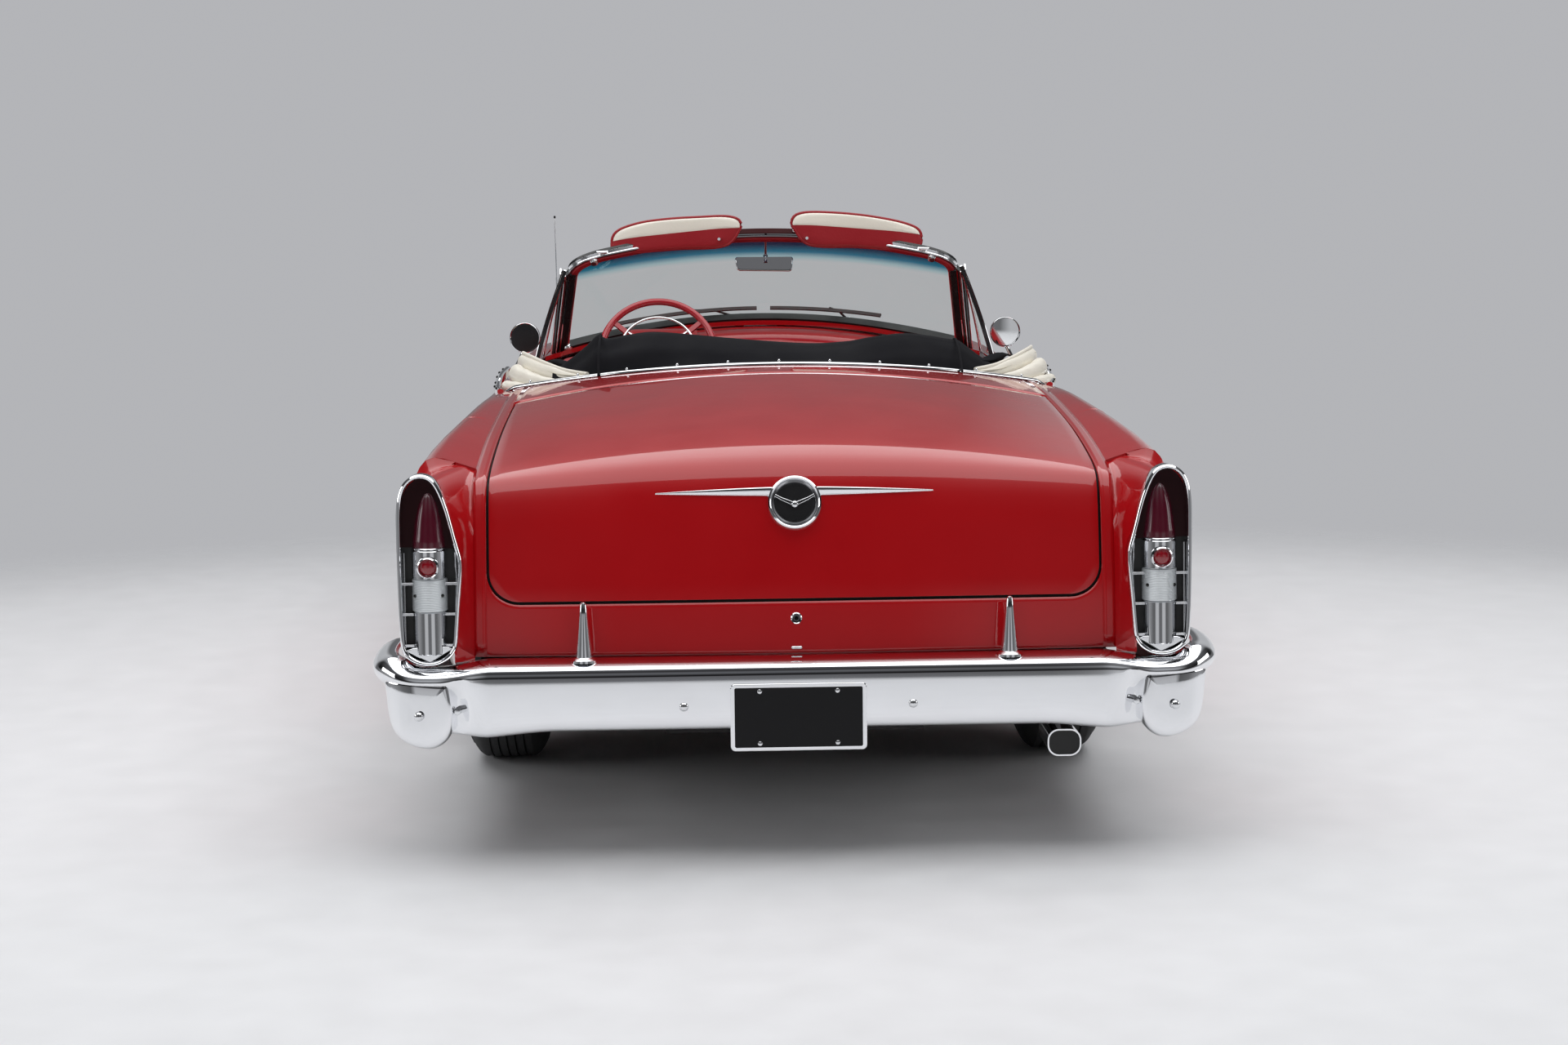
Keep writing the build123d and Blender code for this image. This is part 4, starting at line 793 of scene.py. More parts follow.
POD = [(.797, .434), (.790, .40), (.7865, .355), (.791, .320), (.805, .296), (.830, .2805), (.858, .2785), (.893, .288), (.919, .304), (.935, .330), (.9425, .366), (.9455, .40), (.9455, .434)]
for s, tag in ((1, "r"), (-1, "l")):
    edge = catmull(POD + POD[:1], 73)[:-1]
    rings = [(1, None), (1, .026), (.992, .015), (.965, .007), (.91, .002), (.80, 0), (.55, -.001), (.30, -.001), (.10, -.001)]
    pod = []
    for f, d in rings:
        pts = [(.866 + (x - .866) * f, .365 + (z - .365) * f) for x, z in edge]
        pod.append([(s * x, -2.500 if d is None else np.interp(x, PLAN[:90, 0], PLAN[:90, 1]) + .003 + d, z) for x, z in pts])
    grid(f"bumper_pod_{tag}", pod, CHROME, wrap_v=True, caps=True, angle=60)
    foot_top = [(.742, -2.514, .480), (.762, -2.521, .494), (.782, -2.531, .508), (.786, -2.535, .504)]
    fill = [[(s * x, y, z) for x, y, z in foot_top], [(s * x, y, .470) for x, y, z in foot_top], [(s * x, y + .02, .462) for x, y, z in foot_top]]
    grid(f"tail_foot_{tag}", fill, PAINT, smooth=False)
    lathe(f"pod_bolt_{tag}", [(0, .007), (.005, .0065), (.0095, .003), (.011, 0), (.011, -.004), (0, -.004)], (s * .8655, -2.5985, .3574), (0, -1, 0), CHROME_SOFT, n=24)
    lathe(f"face_bolt_{tag}", [(0, .006), (.005, .0055), (.0095, .0025), (.0105, 0), (.0105, -.004), (0, -.004)], (s * .262, -2.6025, .371), (0, -1, 0), CHROME_SOFT, n=24)
    lathe(f"step_bolt_{tag}", [(0, .006), (.006, .005), (.008, .001), (.008, -.006), (0, -.006)], (s * .779, -2.5815, .3647), (0, -1, 0), CHROME_SOFT, n=20)
    guard = [(0, .470), (.0215, .470), (.0205, .486), (.0172, .515), (.0135, .548), (.0102, .58), (.0078, .6035), (.0045, .6085), (0, .610)]
    lathe(f"guard_{tag}", guard, (s * .489, -2.556, 0), (0, 0, 1), CHROME, n=32)
    lathe(f"guard_foot_{tag}", [(0, 0), (.031, 0), (.031, .006), (.025, .012), (.021, .014), (0, .014)], (s * .489, -2.556, .468), (0, .10, 1), CHROME, n=32)



def round_box(x0, x1, z0, z1, r):
    return [(cx + r * math.cos(a), cz + r * math.sin(a)) for cx, cz, q in ((x1 - r, z1 - r, 0), (x0 + r, z1 - r, 1), (x0 + r, z0 + r, 2), (x1 - r, z0 + r, 3)) for a in np.linspace(q, q + 1, 7) * math.pi / 2]


prism("plate_rim", round_box(-.1560, .1560, .2665, .4225, .011), (0, -2.5995, 0), (1, 0, 0), (0, 0, 1), .0080, CHROME, bev=.002)
face = prism("plate_face", round_box(-.1465, .1465, .2750, .4135, .004), (0, -2.6035, 0), (1, 0, 0), (0, 0, 1), .0048, PLATE)
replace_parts(face, "licence_plate")
for x in (-.0889, .0889):
    for z in (.2842, .4048):
        lathe(f"plate_screw_{'r' if x > 0 else 'l'}_{round(z * 1000)}", [(0, .0032), (.003, .0028), (.0052, .001), (.0052, -.003), (0, -.003)], (x, -2.6080, z), (0, -1, 0), CHROME_SOFT, n=16)
block("plate_lamp", (-.040, -2.598, .425), (.040, -2.572, .439), CHROME, bev=.004)

# ---------------------------------------------------------------- emblem, lock and belt moulding

E_O = Vector((0, -2.4705, .8215))
E_N = Vector((0, -.966, .259)).normalized()
lathe("emblem_ring", [(.0465, -.004), (.0465, .006), (.0485, .0090), (.0520, .0098), (.0535, .0085), (.0545, .0105), (.0580, .0128), (.0615, .0110), (.0635, .0050), (.0640, -.006), (.0465, -.006)], E_O, E_N, CHROME, "boot_lid", n=96)
dish = [(0, .0040)] + [(.003 + .0030 * k, .0030 + (.0009 if k % 2 else 0)) for k in range(15)] + [(.0475, .0030), (.0475, -.004), (0, -.004)]
em = lathe("emblem_dish", dish, E_O, E_N, EMBLEM, "boot_lid", n=96)
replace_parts(em, "trunk_emblem")
lathe("emblem_knob", [(0, .013), (.004, .0125), (.0072, .0105), (.0085, .007), (.0085, 0), (0, 0)], E_O - Vector((0, 0, .004)), E_N, CHROME, "boot_lid", n=40)
t_spear = deck_t_z(.846)
for s, tag in ((1, "r"), (-1, "l")):
    xs = np.linspace(.052, .322, 30)
    path = [deck(s * x, t_spear, .004) for x in xs]
    size = [max(.14, 1 - .86 * ((x - .052) / .27) ** 1.3) for x in xs]
    sweep(f"spear_{tag}", path, [(a * .45, b) for a, b in circle(.0115, 16)], CHROME, "boot_lid", up=(0, -.26, .97), scale=size)
    vee = [(.0, -.0105), (.012, -.004), (.030, .0045), (.049, .0155), (.0475, .0215), (.030, .0120), (.012, .0050), (.0, .0005)]
    prism(f"emblem_vee_{tag}", [(s * a, b) for a, b in vee], E_O + E_N * .003, (1, 0, 0), (0, .259, .966), .0055, CHROME, "boot_lid", bev=.0012)

lathe("panel_lock", [(0, .0005), (.0070, .0005), (.0085, .0025), (.0110, .0028), (.0130, .0012), (.0135, -.001), (.0135, -.006), (0, -.006)], deck(0, deck_t_z(.5576)), (0, -.99, .14), CHROME, n=32)
lathe("panel_lock_core", [(0, .0016), (.0046, .0015), (.0052, .0008), (.0052, -.003), (0, -.003)], deck(0, deck_t_z(.5576)), (0, -.99, .14), DARKMETAL, n=24)
block("panel_slot", (-.013, -2.5195, .486), (.013, -2.500, .4935), CHROME_SOFT, bev=.003)

xs = np.concatenate([-np.sin(np.linspace(math.pi / 2, 0, 60)) * .790, np.sin(np.linspace(0, math.pi / 2, 60))[1:] * .790])


def belt(x, up=0.0):
    p = deck(min(.745, abs(x)) * np.sign(x), deck_t_y(belt_y(x)), up)
    if abs(x) > .745:
        k = (abs(x) - .745) / .045
        p = np.array([x, belt_y(x), (1 - k) * p[2] + k * (.963 + up)])
    return p


strip = [(-.0085, 0), (-.0085, .003), (-.006, .0062), (0, .0078), (.006, .0062), (.0085, .003), (.0085, 0)]
mould = sweep("belt_moulding", [belt(x) for x in xs], strip, CHROME, angle=50)
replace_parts(mould, "body_trim")
for k, x in enumerate(np.arange(-.70, .71, .14)):
    p = belt(x, .006)
    lathe(f"belt_stud_{k}", [(0, .0085), (.0028, .0080), (.0042, .0060), (.0042, .004), (.003, .003), (.003, 0), (0, 0)], p + np.array([0, .004, 0]), (0, .1, 1), CHROME, n=16)
for s, tag in ((1, "r"), (-1, "l")):
    path = smooth_path([(s * .792, -.952, .972), (s * .806, -.88, .978), (s * .802, -.80, 1.005), (s * .786, -.72, 1.022)], 20)
    sweep(f"belt_end_{tag}", path, [(-.007, -.012), (.007, -.012), (.009, .010), (.004, .014), (-.004, .014), (-.009, .010)], CHROME, angle=40)
    for k in range(6):
        a = path[2 + 3 * k]
        lathe(f"belt_end_stud_{tag}_{k}", [(0, .006), (.003, .005), (.004, .002), (.004, -.003), (0, -.003)], a + np.array([s * .006, 0, .010]), (s * .5, 0, 1), DARKMETAL, n=12)

tip_line = round_box(.585, .664, .219, .283, .026)
inner = round_box(.5885, .6605, .2225, .2795, .023)
P = [[(x, y, z) for x, z in q] for q, y in ((tip_line, -2.335), (tip_line, -2.488), (tip_line, -2.4945), (inner, -2.4945), (inner, -2.480))]
grid("exhaust_tip", P, CHROME, wrap_v=True, angle=35)
# partly painted shade: a near-black plate closing the pipe just inside the tip, for the shaded depth of the pipe and
# its soot
prism("exhaust_dark", inner, (0, -2.486, 0), (1, 0, 0), (0, 0, 1), .0055, RECESS_SHADE)

# ---------------------------------------------------------------- windscreen


def foot(u):
    return np.array([.700 * u, .800 + .250 * (1 - u * u), 1.010 + .082 * (1 - u * u)])


def head(u):
    return np.array([.642 * u, .480 + .142 * (1 - u * u), 1.312 + .080 * (1 - u * u)])


FRONTWARD = Vector((0, .70, .714))


def screen(u, v, out=0.0):
    bow = .012 * math.sin(math.pi * v)
    return foot(u) * (1 - v) + head(u) * v + np.array(FRONTWARD) * (bow + out)


us = np.linspace(-.985, .985, 57)
vs = np.linspace(.015, .985, 33)
P = [[screen(u, v) for v in vs] for u in us]
glass = grid("windscreen", P, SCREEN)
at = glass.data.attributes.new("band", "FLOAT", "POINT")
at.data.foreach_set("value", np.array([[min(1.0, max(0.0, (v - .69 - .06 * u * u) / .20)) for v in vs] for u in us]).ravel())
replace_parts(glass, "windshield_glass")


def bend(n=9):
    """The frame's centre line: up one pillar, round the corner, along the header and down again."""
    pts = [screen(-1, v) for v in np.linspace(-.02, .84, 14)]
    a, b, c = screen(-1, .86), screen(-1, 1.0), screen(-.86, 1.0)
    for k in np.linspace(0, 1, n):
        pts.append(a * (1 - k) ** 2 + b * 2 * k * (1 - k) + c * k * k)
    pts += [screen(u, 1.0) for u in np.linspace(-.83, 0, 22)]
    left = np.array(pts)
    right = mirror_points(left[::-1][1:])
    return np.vstack([left, right])


FR = bend()


def along(name, lo, hi, mat, path=FR, **kw):
    """A rounded strip along the frame; lo and hi are its corners, outwards and forwards."""
    (a, b), (c, d) = lo, hi
    r = min(c - a, d - b) * .3
    sec = [(a + r, b), (c - r, b), (c, b + r), (c, d - r), (c - r, d), (a + r, d), (a, d - r), (a, b + r)]
    return sweep(name, path, sec, mat, up=FRONTWARD, angle=35, **kw)


fr = along("screen_frame", (-.004, -.012), (.024, .016), CHROME)
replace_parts(fr, "windshield_frame")
along("screen_frame_ridge", (.010, -.019), (.020, -.010), CHROME)
along("screen_garnish", (-.011, -.021), (.009, -.009), REDVINYL, FR[12:-12])
along("header_line", (.0228, -.003), (.0252, .008), BLACK, FR[16:-16])
k = [i for i, q in enumerate(FR) if abs(q[0]) < .155]
along("header_recess", (.0225, -.0115), (.0262, .0125), HEADER, FR[k[0]:k[-1] + 1])
for s, tag in ((1, "r"), (-1, "l")):
    block(f"header_clip_{tag}", (s * .118 - .014, .583, 1.404), (s * .118 + .014, .600, 1.418), CHROME, bev=.003)
along("screen_bead", (-.015, -.016), (-.009, -.004), CHROME)
for s, tag in ((1, "r"), (-1, "l")):
    pil = np.array([screen(-1, v) for v in np.linspace(-.05, .90, 20)])
    if s > 0:
        pil = mirror_points(pil)[::-1]
    along(f"pillar_inner_{tag}", (-.011, -.022), (.014, -.010), BLACK, pil)
    along(f"pillar_strip_{tag}", (.018, -.026), (.043, -.004), BLACK, pil)
    along(f"pillar_edge_{tag}", (.041, -.022), (.047, .004), CHROME, pil)
    along(f"pillar_rib_{tag}", (.026, -.030), (.030, -.024), CHROME, pil)
    c = Vector(screen(s * .90, .995)) - FRONTWARD * .020
    lathe(f"header_bracket_{tag}", [(0, .010), (.010, .009), (.015, .004), (.016, -.006), (0, -.006)], c, -FRONTWARD, CHROME, n=24)
    c = Vector(screen(s * .985, .03)) - FRONTWARD * .022
    lathe(f"pillar_foot_{tag}", [(0, .016), (.008, .014), (.014, .008), (.016, -.004), (0, -.004)], c, (0, -1, .3), CHROME, n=24)
lower = [screen(u, -.005) for u in np.linspace(-.985, .985, 60)]
sweep("screen_seal", lower, [(-.012, -.014), (.012, -.014), (.010, .014), (-.010, .014)], RUBBER, up=FRONTWARD)
sweep("screen_sill", [screen(u, -.03) for u in np.linspace(-1, 1, 60)], [(-.012, -.010), (.010, -.010), (.006, .012), (-.010, .012)], CHROME, up=FRONTWARD)


def plump(name, outline, centre, xdir, ydir, depth, mat, body=BODY, rings=9, swell=.12):
    """A padded board: an outline whose two faces crown and whose edge is round."""
    o = Vector(centre)
    X = Vector(xdir).normalized()
    Y = Vector(ydir).normalized()
    Z = X.cross(Y).normalized()
    pts = np.asarray(outline, float)
    c = pts.mean(axis=0)
    rows = []
    for k in np.linspace(-1, 1, 2 * rings + 1):
        ang = k * math.pi / 2
        f = 1 - (1 - math.cos(ang)) * swell * 1.0 if abs(k) < .7 else None
        r = math.cos(ang) ** .35 if abs(k) < 1 else 0.0
        h = math.sin(ang) * depth / 2
        rows.append([o + X * (c[0] + (x - c[0]) * r) + Y * (c[1] + (z - c[1]) * r) + Z * h for x, z in pts])
    P = np.array([[tuple(v) for v in row] for row in rows])
    return grid(name, P, mat, body, wrap_v=True, caps=False, angle=60)


visor_l = [(-.517, 1.337), (-.514, 1.393), (-.497, 1.415), (-.428, 1.440), (-.335, 1.453), (-.224, 1.459), (-.113, 1.460), (-.081, 1.449), (-.073, 1.431), (-.081, 1.412), (-.119, 1.366), (-.30, 1.352)]
visor_r = [(.526, 1.334), (.544, 1.362), (.545, 1.392), (.535, 1.410), (.498, 1.428), (.387, 1.453), (.248, 1.469), (.137, 1.470), (.109, 1.459), (.099, 1.434), (.112, 1.412), (.150, 1.366), (.33, 1.352)]
for tag, pts, cut in (("l", visor_l, ((-.53, 1.381), (-.07, 1.424))), ("r", visor_r, ((.10, 1.431), (.56, 1.392)))):
    pts = catmull(pts + [pts[0]], 90)[:-1]
    (x0, z0), (x1, z1) = cut

    def line(x):
        return z0 + (z1 - z0) * (x - x0) / (x1 - x0)

    def part_of(keep):
        out = []
        m = len(pts)
        for i in range(m):
            a, b = pts[i], pts[(i + 1) % m]
            da, db = a[1] - line(a[0]), b[1] - line(b[0])
            if keep * da >= 0:
                out.append(tuple(a))
            if da * db < 0:
                k = da / (da - db)
                out.append(tuple(a + (b - a) * k))
        return out

    o = Vector((0, .462, 0))
    up = (0, .06, 1)
    body_pts = [(x, z) for x, z in pts]
    red = plump(f"visor_{tag}_red", body_pts, o, (1, 0, 0), up, .022, REDVINYL)
    if tag == "l":
        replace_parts(red, "sun_visors")
    up_pts = part_of(1)
    q = np.array(up_pts)
    c = q.mean(axis=0)
    q = c + (q - c) * .985
    cream = plump(f"visor_{tag}_cream", q, o - Vector((0, .0022, 0)), (1, 0, 0), up, .023, CREAM)
    ring = [o + Vector((x, .06 * (z - 0), z)) * 1 for x, z in pts]
    ring = [Vector((x, .462 + .06 * z, z)) for x, z in pts]
    tube(f"visor_{tag}_piping", [tuple(v) for v in ring], .0052, REDVINYL, closed=True, n=10)
    sx = -1 if tag == "l" else 1
    rod(f"visor_{tag}_pin", (sx * .53, .49, 1.345), (sx * .575, .50, 1.343), .006, CHROME)
    block(f"visor_{tag}_clip", (sx * .135 - .012, .575, 1.382), (sx * .135 + .012, .60, 1.398), CHROME, bev=.003)
    rod(f"visor_{tag}_arm", (sx * .135, .59, 1.388), (sx * .15, .49, 1.385), .005, CHROME)

# inside mirror
mo = [(-.090, 1.323), (.104, 1.322), (.108, 1.314), (.103, 1.276), (.096, 1.271), (-.080, 1.275), (-.088, 1.281), (-.095, 1.315)]
m0 = prism("inside_mirror", mo, (0, .566, 0), (1, 0, 0), (0, .08, 1), .012, CHROME, bev=.003)
mi = [(x * .965 + .0003, 1.298 + (z - 1.298) * .86) for x, z in mo]
prism("inside_mirror_face", mi, (0, .6308, 0), (1, 0, 0), (0, .02, 1), .0018, MIRROR)
rod("inside_mirror_stem", (.012, .668, 1.318), (.012, .600, 1.398), .0045, CHROME)
rod("inside_mirror_ball", (.012, .655, 1.298), (.012, .672, 1.324), .008, CHROME)

# wipers
for k, (a, b, p) in enumerate((((-.78, .085), (-.02, .085), (-.36, -.02)), ((.05, .085), (.62, .095), (.20, -.02)))):
    ends = [screen(a[0] + (b[0] - a[0]) * t, a[1] + (b[1] - a[1]) * t, .012) for t in np.linspace(0, 1, 14)]
    sweep(f"wiper_blade_{k}", ends, [(-.003, -.009), (.003, -.009), (.004, .004), (-.004, .004)], RUBBER, up=FRONTWARD)
    mid = ends[7]
    pivot = screen(p[0] + .26, p[1], .006)
    sweep(f"wiper_arm_{k}", [pivot, pivot * .5 + mid * .5 + np.array(FRONTWARD) * .022, mid + np.array(FRONTWARD) * .008], [(-.004, -.002), (.004, -.002), (.004, .002), (-.004, .002)], BLACK, up=FRONTWARD)
    lathe(f"wiper_pivot_{k}", [(0, .02), (.008, .018), (.011, .006), (.013, 0), (.013, -.012), (0, -.012)], pivot, FRONTWARD, CHROME, n=20)

# quarter lights on the doors, door mirrors and the aerial
for s, tag in ((1, "r"), (-1, "l")):
    body = "door_right_assembly" if s > 0 else "door_left_assembly"

    def vent(a, b, out=0.0):
        return np.array([s * (.778 - .31 * b + out + .006 * math.sin(math.pi * min(1, b / .34))), a, .966 + .955 * b])

    A, B, C = (.786, .010), (.428, .004), (.474, .332)

    def side(p, q, n=14):
        return [vent(p[0] + (q[0] - p[0]) * t, p[1] + (q[1] - p[1]) * t) for t in np.linspace(0, 1, n)]

    rows = []
    for t in np.linspace(0, 1, 14):
        a = (A[0] + (C[0] - A[0]) * t, A[1] + (C[1] - A[1]) * t)
        b = (B[0] + (C[0] - B[0]) * t, B[1] + (C[1] - B[1]) * t)
        rows.append([vent(a[0] + (b[0] - a[0]) * k, a[1] + (b[1] - a[1]) * k) for k in np.linspace(0, 1, 10)])
    vg = grid(f"vent_glass_{tag}", rows, GLASS, body)
    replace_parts(vg, "vent_window_right" if s > 0 else "vent_window_left")
    tube(f"vent_front_{tag}", side(A, C), .0055, CHROME, body, n=10)
    tube(f"vent_foot_{tag}", side(A, B), .0055, CHROME, body, n=10)
    sweep(f"vent_post_{tag}", side(B, C), [(-.008, -.006), (.008, -.006), (.008, .006), (-.008, .006)], BLACK, body, up=(s, 0, 0))
    tube(f"vent_bright_{tag}", [q + np.array([s * .006, -.006, 0]) for q in side(B, C)], .0028, CHROME, body, n=8)
    block(f"vent_catch_{tag}", (s * .775 - .006, .50, .985), (s * .775 + .006, .53, 1.0), CHROME, body, bev=.002)
    c = Vector((s * .800, .245, 1.070))
    ax = Vector((-s * .03, -1, .02)).normalized()
    dm = lathe(f"door_mirror_{tag}", [(.0465, .004), (.0485, .0045), (.0505, .002), (.0510, -.004), (.048, -.014), (.038, -.024), (.022, -.031), (.008, -.034), (0, -.034)], c, ax, CHROME, body, n=64)
    # painted reflection: the left mirror's glass is black gloss instead of mirror, standing for the dark it reflects
    lathe(f"door_mirror_glass_{tag}", [(0, .0050), (.030, .0047), (.0472, .0035), (.0472, -.004), (0, -.004)], c, ax + Vector((.07, 0, -.08)) if s > 0 else ax, MIRROR if s > 0 else BLACK, body, n=64)
    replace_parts(dm, "door_trim_right" if s > 0 else "door_trim_left")
    tube(f"door_mirror_arm_{tag}", smooth_path([c - ax * .028, c + Vector((s * .010, .055, -.045)), c + Vector((s * .030, .050, -.090)), (s * .842, .285, .957)], 16), .0065, CHROME, body, n=14)
    lathe(f"door_mirror_foot_{tag}", [(0, .016), (.008, .015), (.018, .008), (.024, .002), (.025, -.008), (0, -.008)], (s * .845, .285, .946), (s * .35, 0, 1), CHROME, body, n=32)

lathe("aerial_base", [(0, .046), (.006, .044), (.009, .036), (.011, .020), (.017, .010), (.020, 0), (.020, -.012), (0, -.012)], (-.722, .900, .990), (-.05, 0, 1), CHROME, n=28)
ant = rod("aerial_low", (-.724, .900, 1.03), (-.728, .900, 1.25), .0028, CHROME, n=14)
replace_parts(ant, "antenna")
rod("aerial_high", (-.728, .900, 1.25), (-.7305, .900, 1.460), .0017, CHROME, n=12)
lathe("aerial_tip", [(0, .006), (.003, .005), (.0042, .001), (.003, -.003), (0, -.005)], (-.7305, .900, 1.462), (0, 0, 1), BLACK, n=14)

# ---------------------------------------------------------------- folded top and its boot

TOP = [(-.64, 1.030), (-.607, 1.056), (-.575, 1.079), (-.535, 1.112), (-.505, 1.138), (-.488, 1.126), (-.427, 1.136), (-.349, 1.146), (-.256, 1.141), (-.140, 1.128), (-.023, 1.117), (.117, 1.109), (.195, 1.114), (.288, 1.127), (.366, 1.132), (.444, 1.122), (.499, 1.112), (.520, 1.110), (.554, 1.088), (.593, 1.060), (.630, 1.036)]
TX = np.array([t[0] for t in TOP])
TZ = np.array([t[1] for t in TOP])
rows = []
for x in np.linspace(-.640, .630, 150):
    zt = float(pchip(TX, TZ, [x])[0])
    row = []
    back = min(-1.06, belt_y(x) + .060)
    front = -.845
    base = .985
    for k in range(72):
        a = math.pi * k / 71
        y = (front + back) / 2 + (front - back) / 2 * math.cos(a)
        f = abs(math.sin(a)) ** .42
        z = base + (zt - base) * f
        # the back falls away to the belt and the folded layers show as soft ridges
        slope = max(0.0, (math.cos(a) * -1) - .15)
        z -= .050 * slope
        ridge = .0013 * math.sin(k * .55 + 2.2 * math.sin(x * 3.1)) + .0016 * math.sin(x * 13 + k * .25)
        z += ridge * f
        y += .002 * math.sin(x * 9 + k * .4)
        row.append((x, y, z))
    rows.append(row)
top = grid("folded_top_cloth", rows, CLOTH, wrap_v=True, caps=True, angle=70)
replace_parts(top, "folded_top")
for s, tag in ((1, "r"), (-1, "l")):
    x = .515 if s > 0 else -.500
    zt = float(pchip(TX, TZ, [x])[0])
    seam = [(x, -.845 + .010, 1.0), (x, -.90, zt - .012), (x, -.98, zt + .0045), (x, -1.06, zt - .010), (x, -1.14, zt - .045), (x, -1.19, 1.035)]
    tube(f"top_seam_{tag}", smooth_path(seam, 30), .0035, CLOTH, n=8)


def roll(name, s, path, size, thin, mat=CREAM, n=40, pleat=0.0):
    """A tapered, softly folded roll of vinyl: size is its half height along the path."""
    p = smooth_path([(s * x, y, z) for x, y, z in path], n)
    h = pchip(np.linspace(0, 1, len(size)), np.array(size), np.linspace(0, 1, n))
    w = pchip(np.linspace(0, 1, len(thin)), np.array(thin), np.linspace(0, 1, n))
    rows = []
    for i in range(n):
        t = Vector(p[min(i + 1, n - 1)] - p[max(i - 1, 0)]).normalized()
        side_v = t.cross(Vector((0, 0, 1))).normalized()
        up_v = side_v.cross(t).normalized()
        row = []
        for k in range(24):
            a = 2 * math.pi * k / 24
            wr = 1 + pleat * math.sin(3 * a + i * .6)
            row.append(Vector(p[i]) + side_v * (w[i] * math.cos(a) * wr) + up_v * (h[i] * math.sin(a) * wr))
        rows.append(row)
    P = np.array([[tuple(v) for v in r] for r in rows])
    first = P[0].mean(axis=0)
    last = P[-1].mean(axis=0)
    cap0 = np.array([first + (q - first) * .35 + (P[0] - P[1]).mean(axis=0) * .35 for q in P[0]])
    cap1 = np.array([last + (q - last) * .55 + (P[-1] - P[-2]).mean(axis=0) * 1.2 for q in P[-1]])
    P = np.concatenate([cap0[None], P, cap1[None]])
    o = grid(name, P, mat, wrap_v=True, caps=True, angle=75)
    return o


first = None
for s, tag in ((1, "r"), (-1, "l")):
    dx = 0.0 if s > 0 else -.026
    A = [(.560 + dx, -1.110, 1.026), (.62 + dx, -1.02, 1.020), (.685 + dx, -.91, 1.024), (.735 + dx, -.82, 1.036), (.765 + dx, -.735, 1.048)]
    o = roll(f"boot_roll_a_{tag}", s, A, [.006, .018, .028, .030, .024], [.008, .014, .018, .020, .018])
    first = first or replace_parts(o, "top_boot")
    B = [(.640 + dx, -1.055, 1.008), (.705 + dx, -.965, 1.003), (.755 + dx, -.88, 1.009), (.780 + dx, -.81, 1.018)]
    roll(f"boot_roll_b_{tag}", s, B, [.008, .020, .029, .030], [.008, .016, .022, .024], pleat=.02)
    Cc = [(.700 + dx, -1.015, .992), (.745 + dx, -.955, .984), (.785 + dx, -.895, .984), (.806 + dx, -.85, .985)]
    roll(f"boot_roll_c_{tag}", s, Cc, [.006, .014, .019, .018], [.006, .014, .018, .018], pleat=.02)
    edge = [(x, y + .002, z + h) for (x, y, z), h in zip(A, (.010, .020, .030, .033, .028))]
    edge = smooth_path([(s * x, y, z) for x, y, z in edge], 30)
    tube(f"boot_piping_{tag}", edge, .0052, CREAM, n=10)
    low = smooth_path([(s * (x + .012), y - .006, z + h * .55) for (x, y, z), h in zip(A, (.006, .016, .026, .028, .022))], 30)
    tube(f"boot_seam_{tag}", low, .0024, CREAM_EDGE, n=8)
    flap = [(s * (.55 + dx), -1.05, 1.030), (s * (.60 + dx), -.97, 1.046), (s * (.665 + dx), -.86, 1.052), (s * (.70 + dx), -.78, 1.048)]
    flap = smooth_path(flap, 24)
    rows = []
    for i, q in enumerate(flap):
        k = i / 23
        w = .045 * (1 - .3 * k)
        rows.append([(q[0] - s * w * c, q[1] + .02 * c, q[2] + .012 * math.sin(c * math.pi) + .004 * math.sin(9 * k + 4 * c) - .03 * c * c) for c in np.linspace(0, 1, 9)])
    o = grid(f"top_flap_{tag}", rows, CLOTH, angle=70)
    thick(o, .004)

# ---------------------------------------------------------------- bonnet, nose and front end

HOOD = np.array([(1.150, 1.080, .098, .760), (1.458, 1.068, .080, .745), (1.7655, 1.048, .066, .718), (2.1535, 1.006, .046, .683), (2.3535, .958, .036, .648), (2.410, .934, .033, .636), (2.4435, .905, .030, .628)])


def hood(u, y, lift=0.0):
    z, drop, half = (float(pchip(HOOD[:, 0], HOOD[:, k], [y])[0]) for k in (1, 2, 3))
    crease = .006 * math.exp(-((u * half) / .055) ** 2)
    return np.array([u * half, y, z - drop * u * u + crease + lift])


rows = [[hood(u, y) for u in np.linspace(-1, 1, 61)] for y in np.concatenate([np.linspace(1.152, 2.30, 30), np.linspace(2.32, 2.4435, 12)])]
bonnet = panel("bonnet_skin", rows, PAINT, "bonnet", t=.010)
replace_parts(bonnet, "hood")
spear = [hood(0, y, .004) for y in np.linspace(1.62, 2.40, 30)]
sweep("bonnet_spear", spear, [(-.011, -.004), (-.009, .006), (-.003, .011), (.003, .011), (.009, .006), (.011, -.004)], CHROME, "bonnet", scale=[.25 + .75 * k for k in np.linspace(0, 1, 30)])
lathe("bonnet_mascot", [(0, .15), (.004, .145), (.011, .11), (.015, .06), (.012, .015), (.006, .002), (0, 0)], (0, 2.40, .965), (0, -1, .22), CHROME, "bonnet", n=24)
sweep("bonnet_lip", [hood(u, 2.441, -.006) for u in np.linspace(-.97, .97, 60)], [(-.006, -.008), (.006, -.008), (.008, .004), (0, .009), (-.008, .004)], CHROME, "bonnet")

outer = [(-.638, .848)] + [(x, .848 + .036 * (1 - (x / .638) ** 2)) for x in np.linspace(-.60, .60, 25)] + [(.638, .848), (.638, .480), (-.638, .480)]


def racetrack(half, low, high, r, n=12):
    pts = []
    for cx, cz, a0 in ((half - r, high - r, 0), (-half + r, high - r, 90), (-half + r, low + r, 180), (half - r, low + r, 270)):
        for k in range(n + 1):
            a = math.radians(a0 + 90 * k / n)
            pts.append((cx + r * math.cos(a), cz + r * math.sin(a)))
    return pts


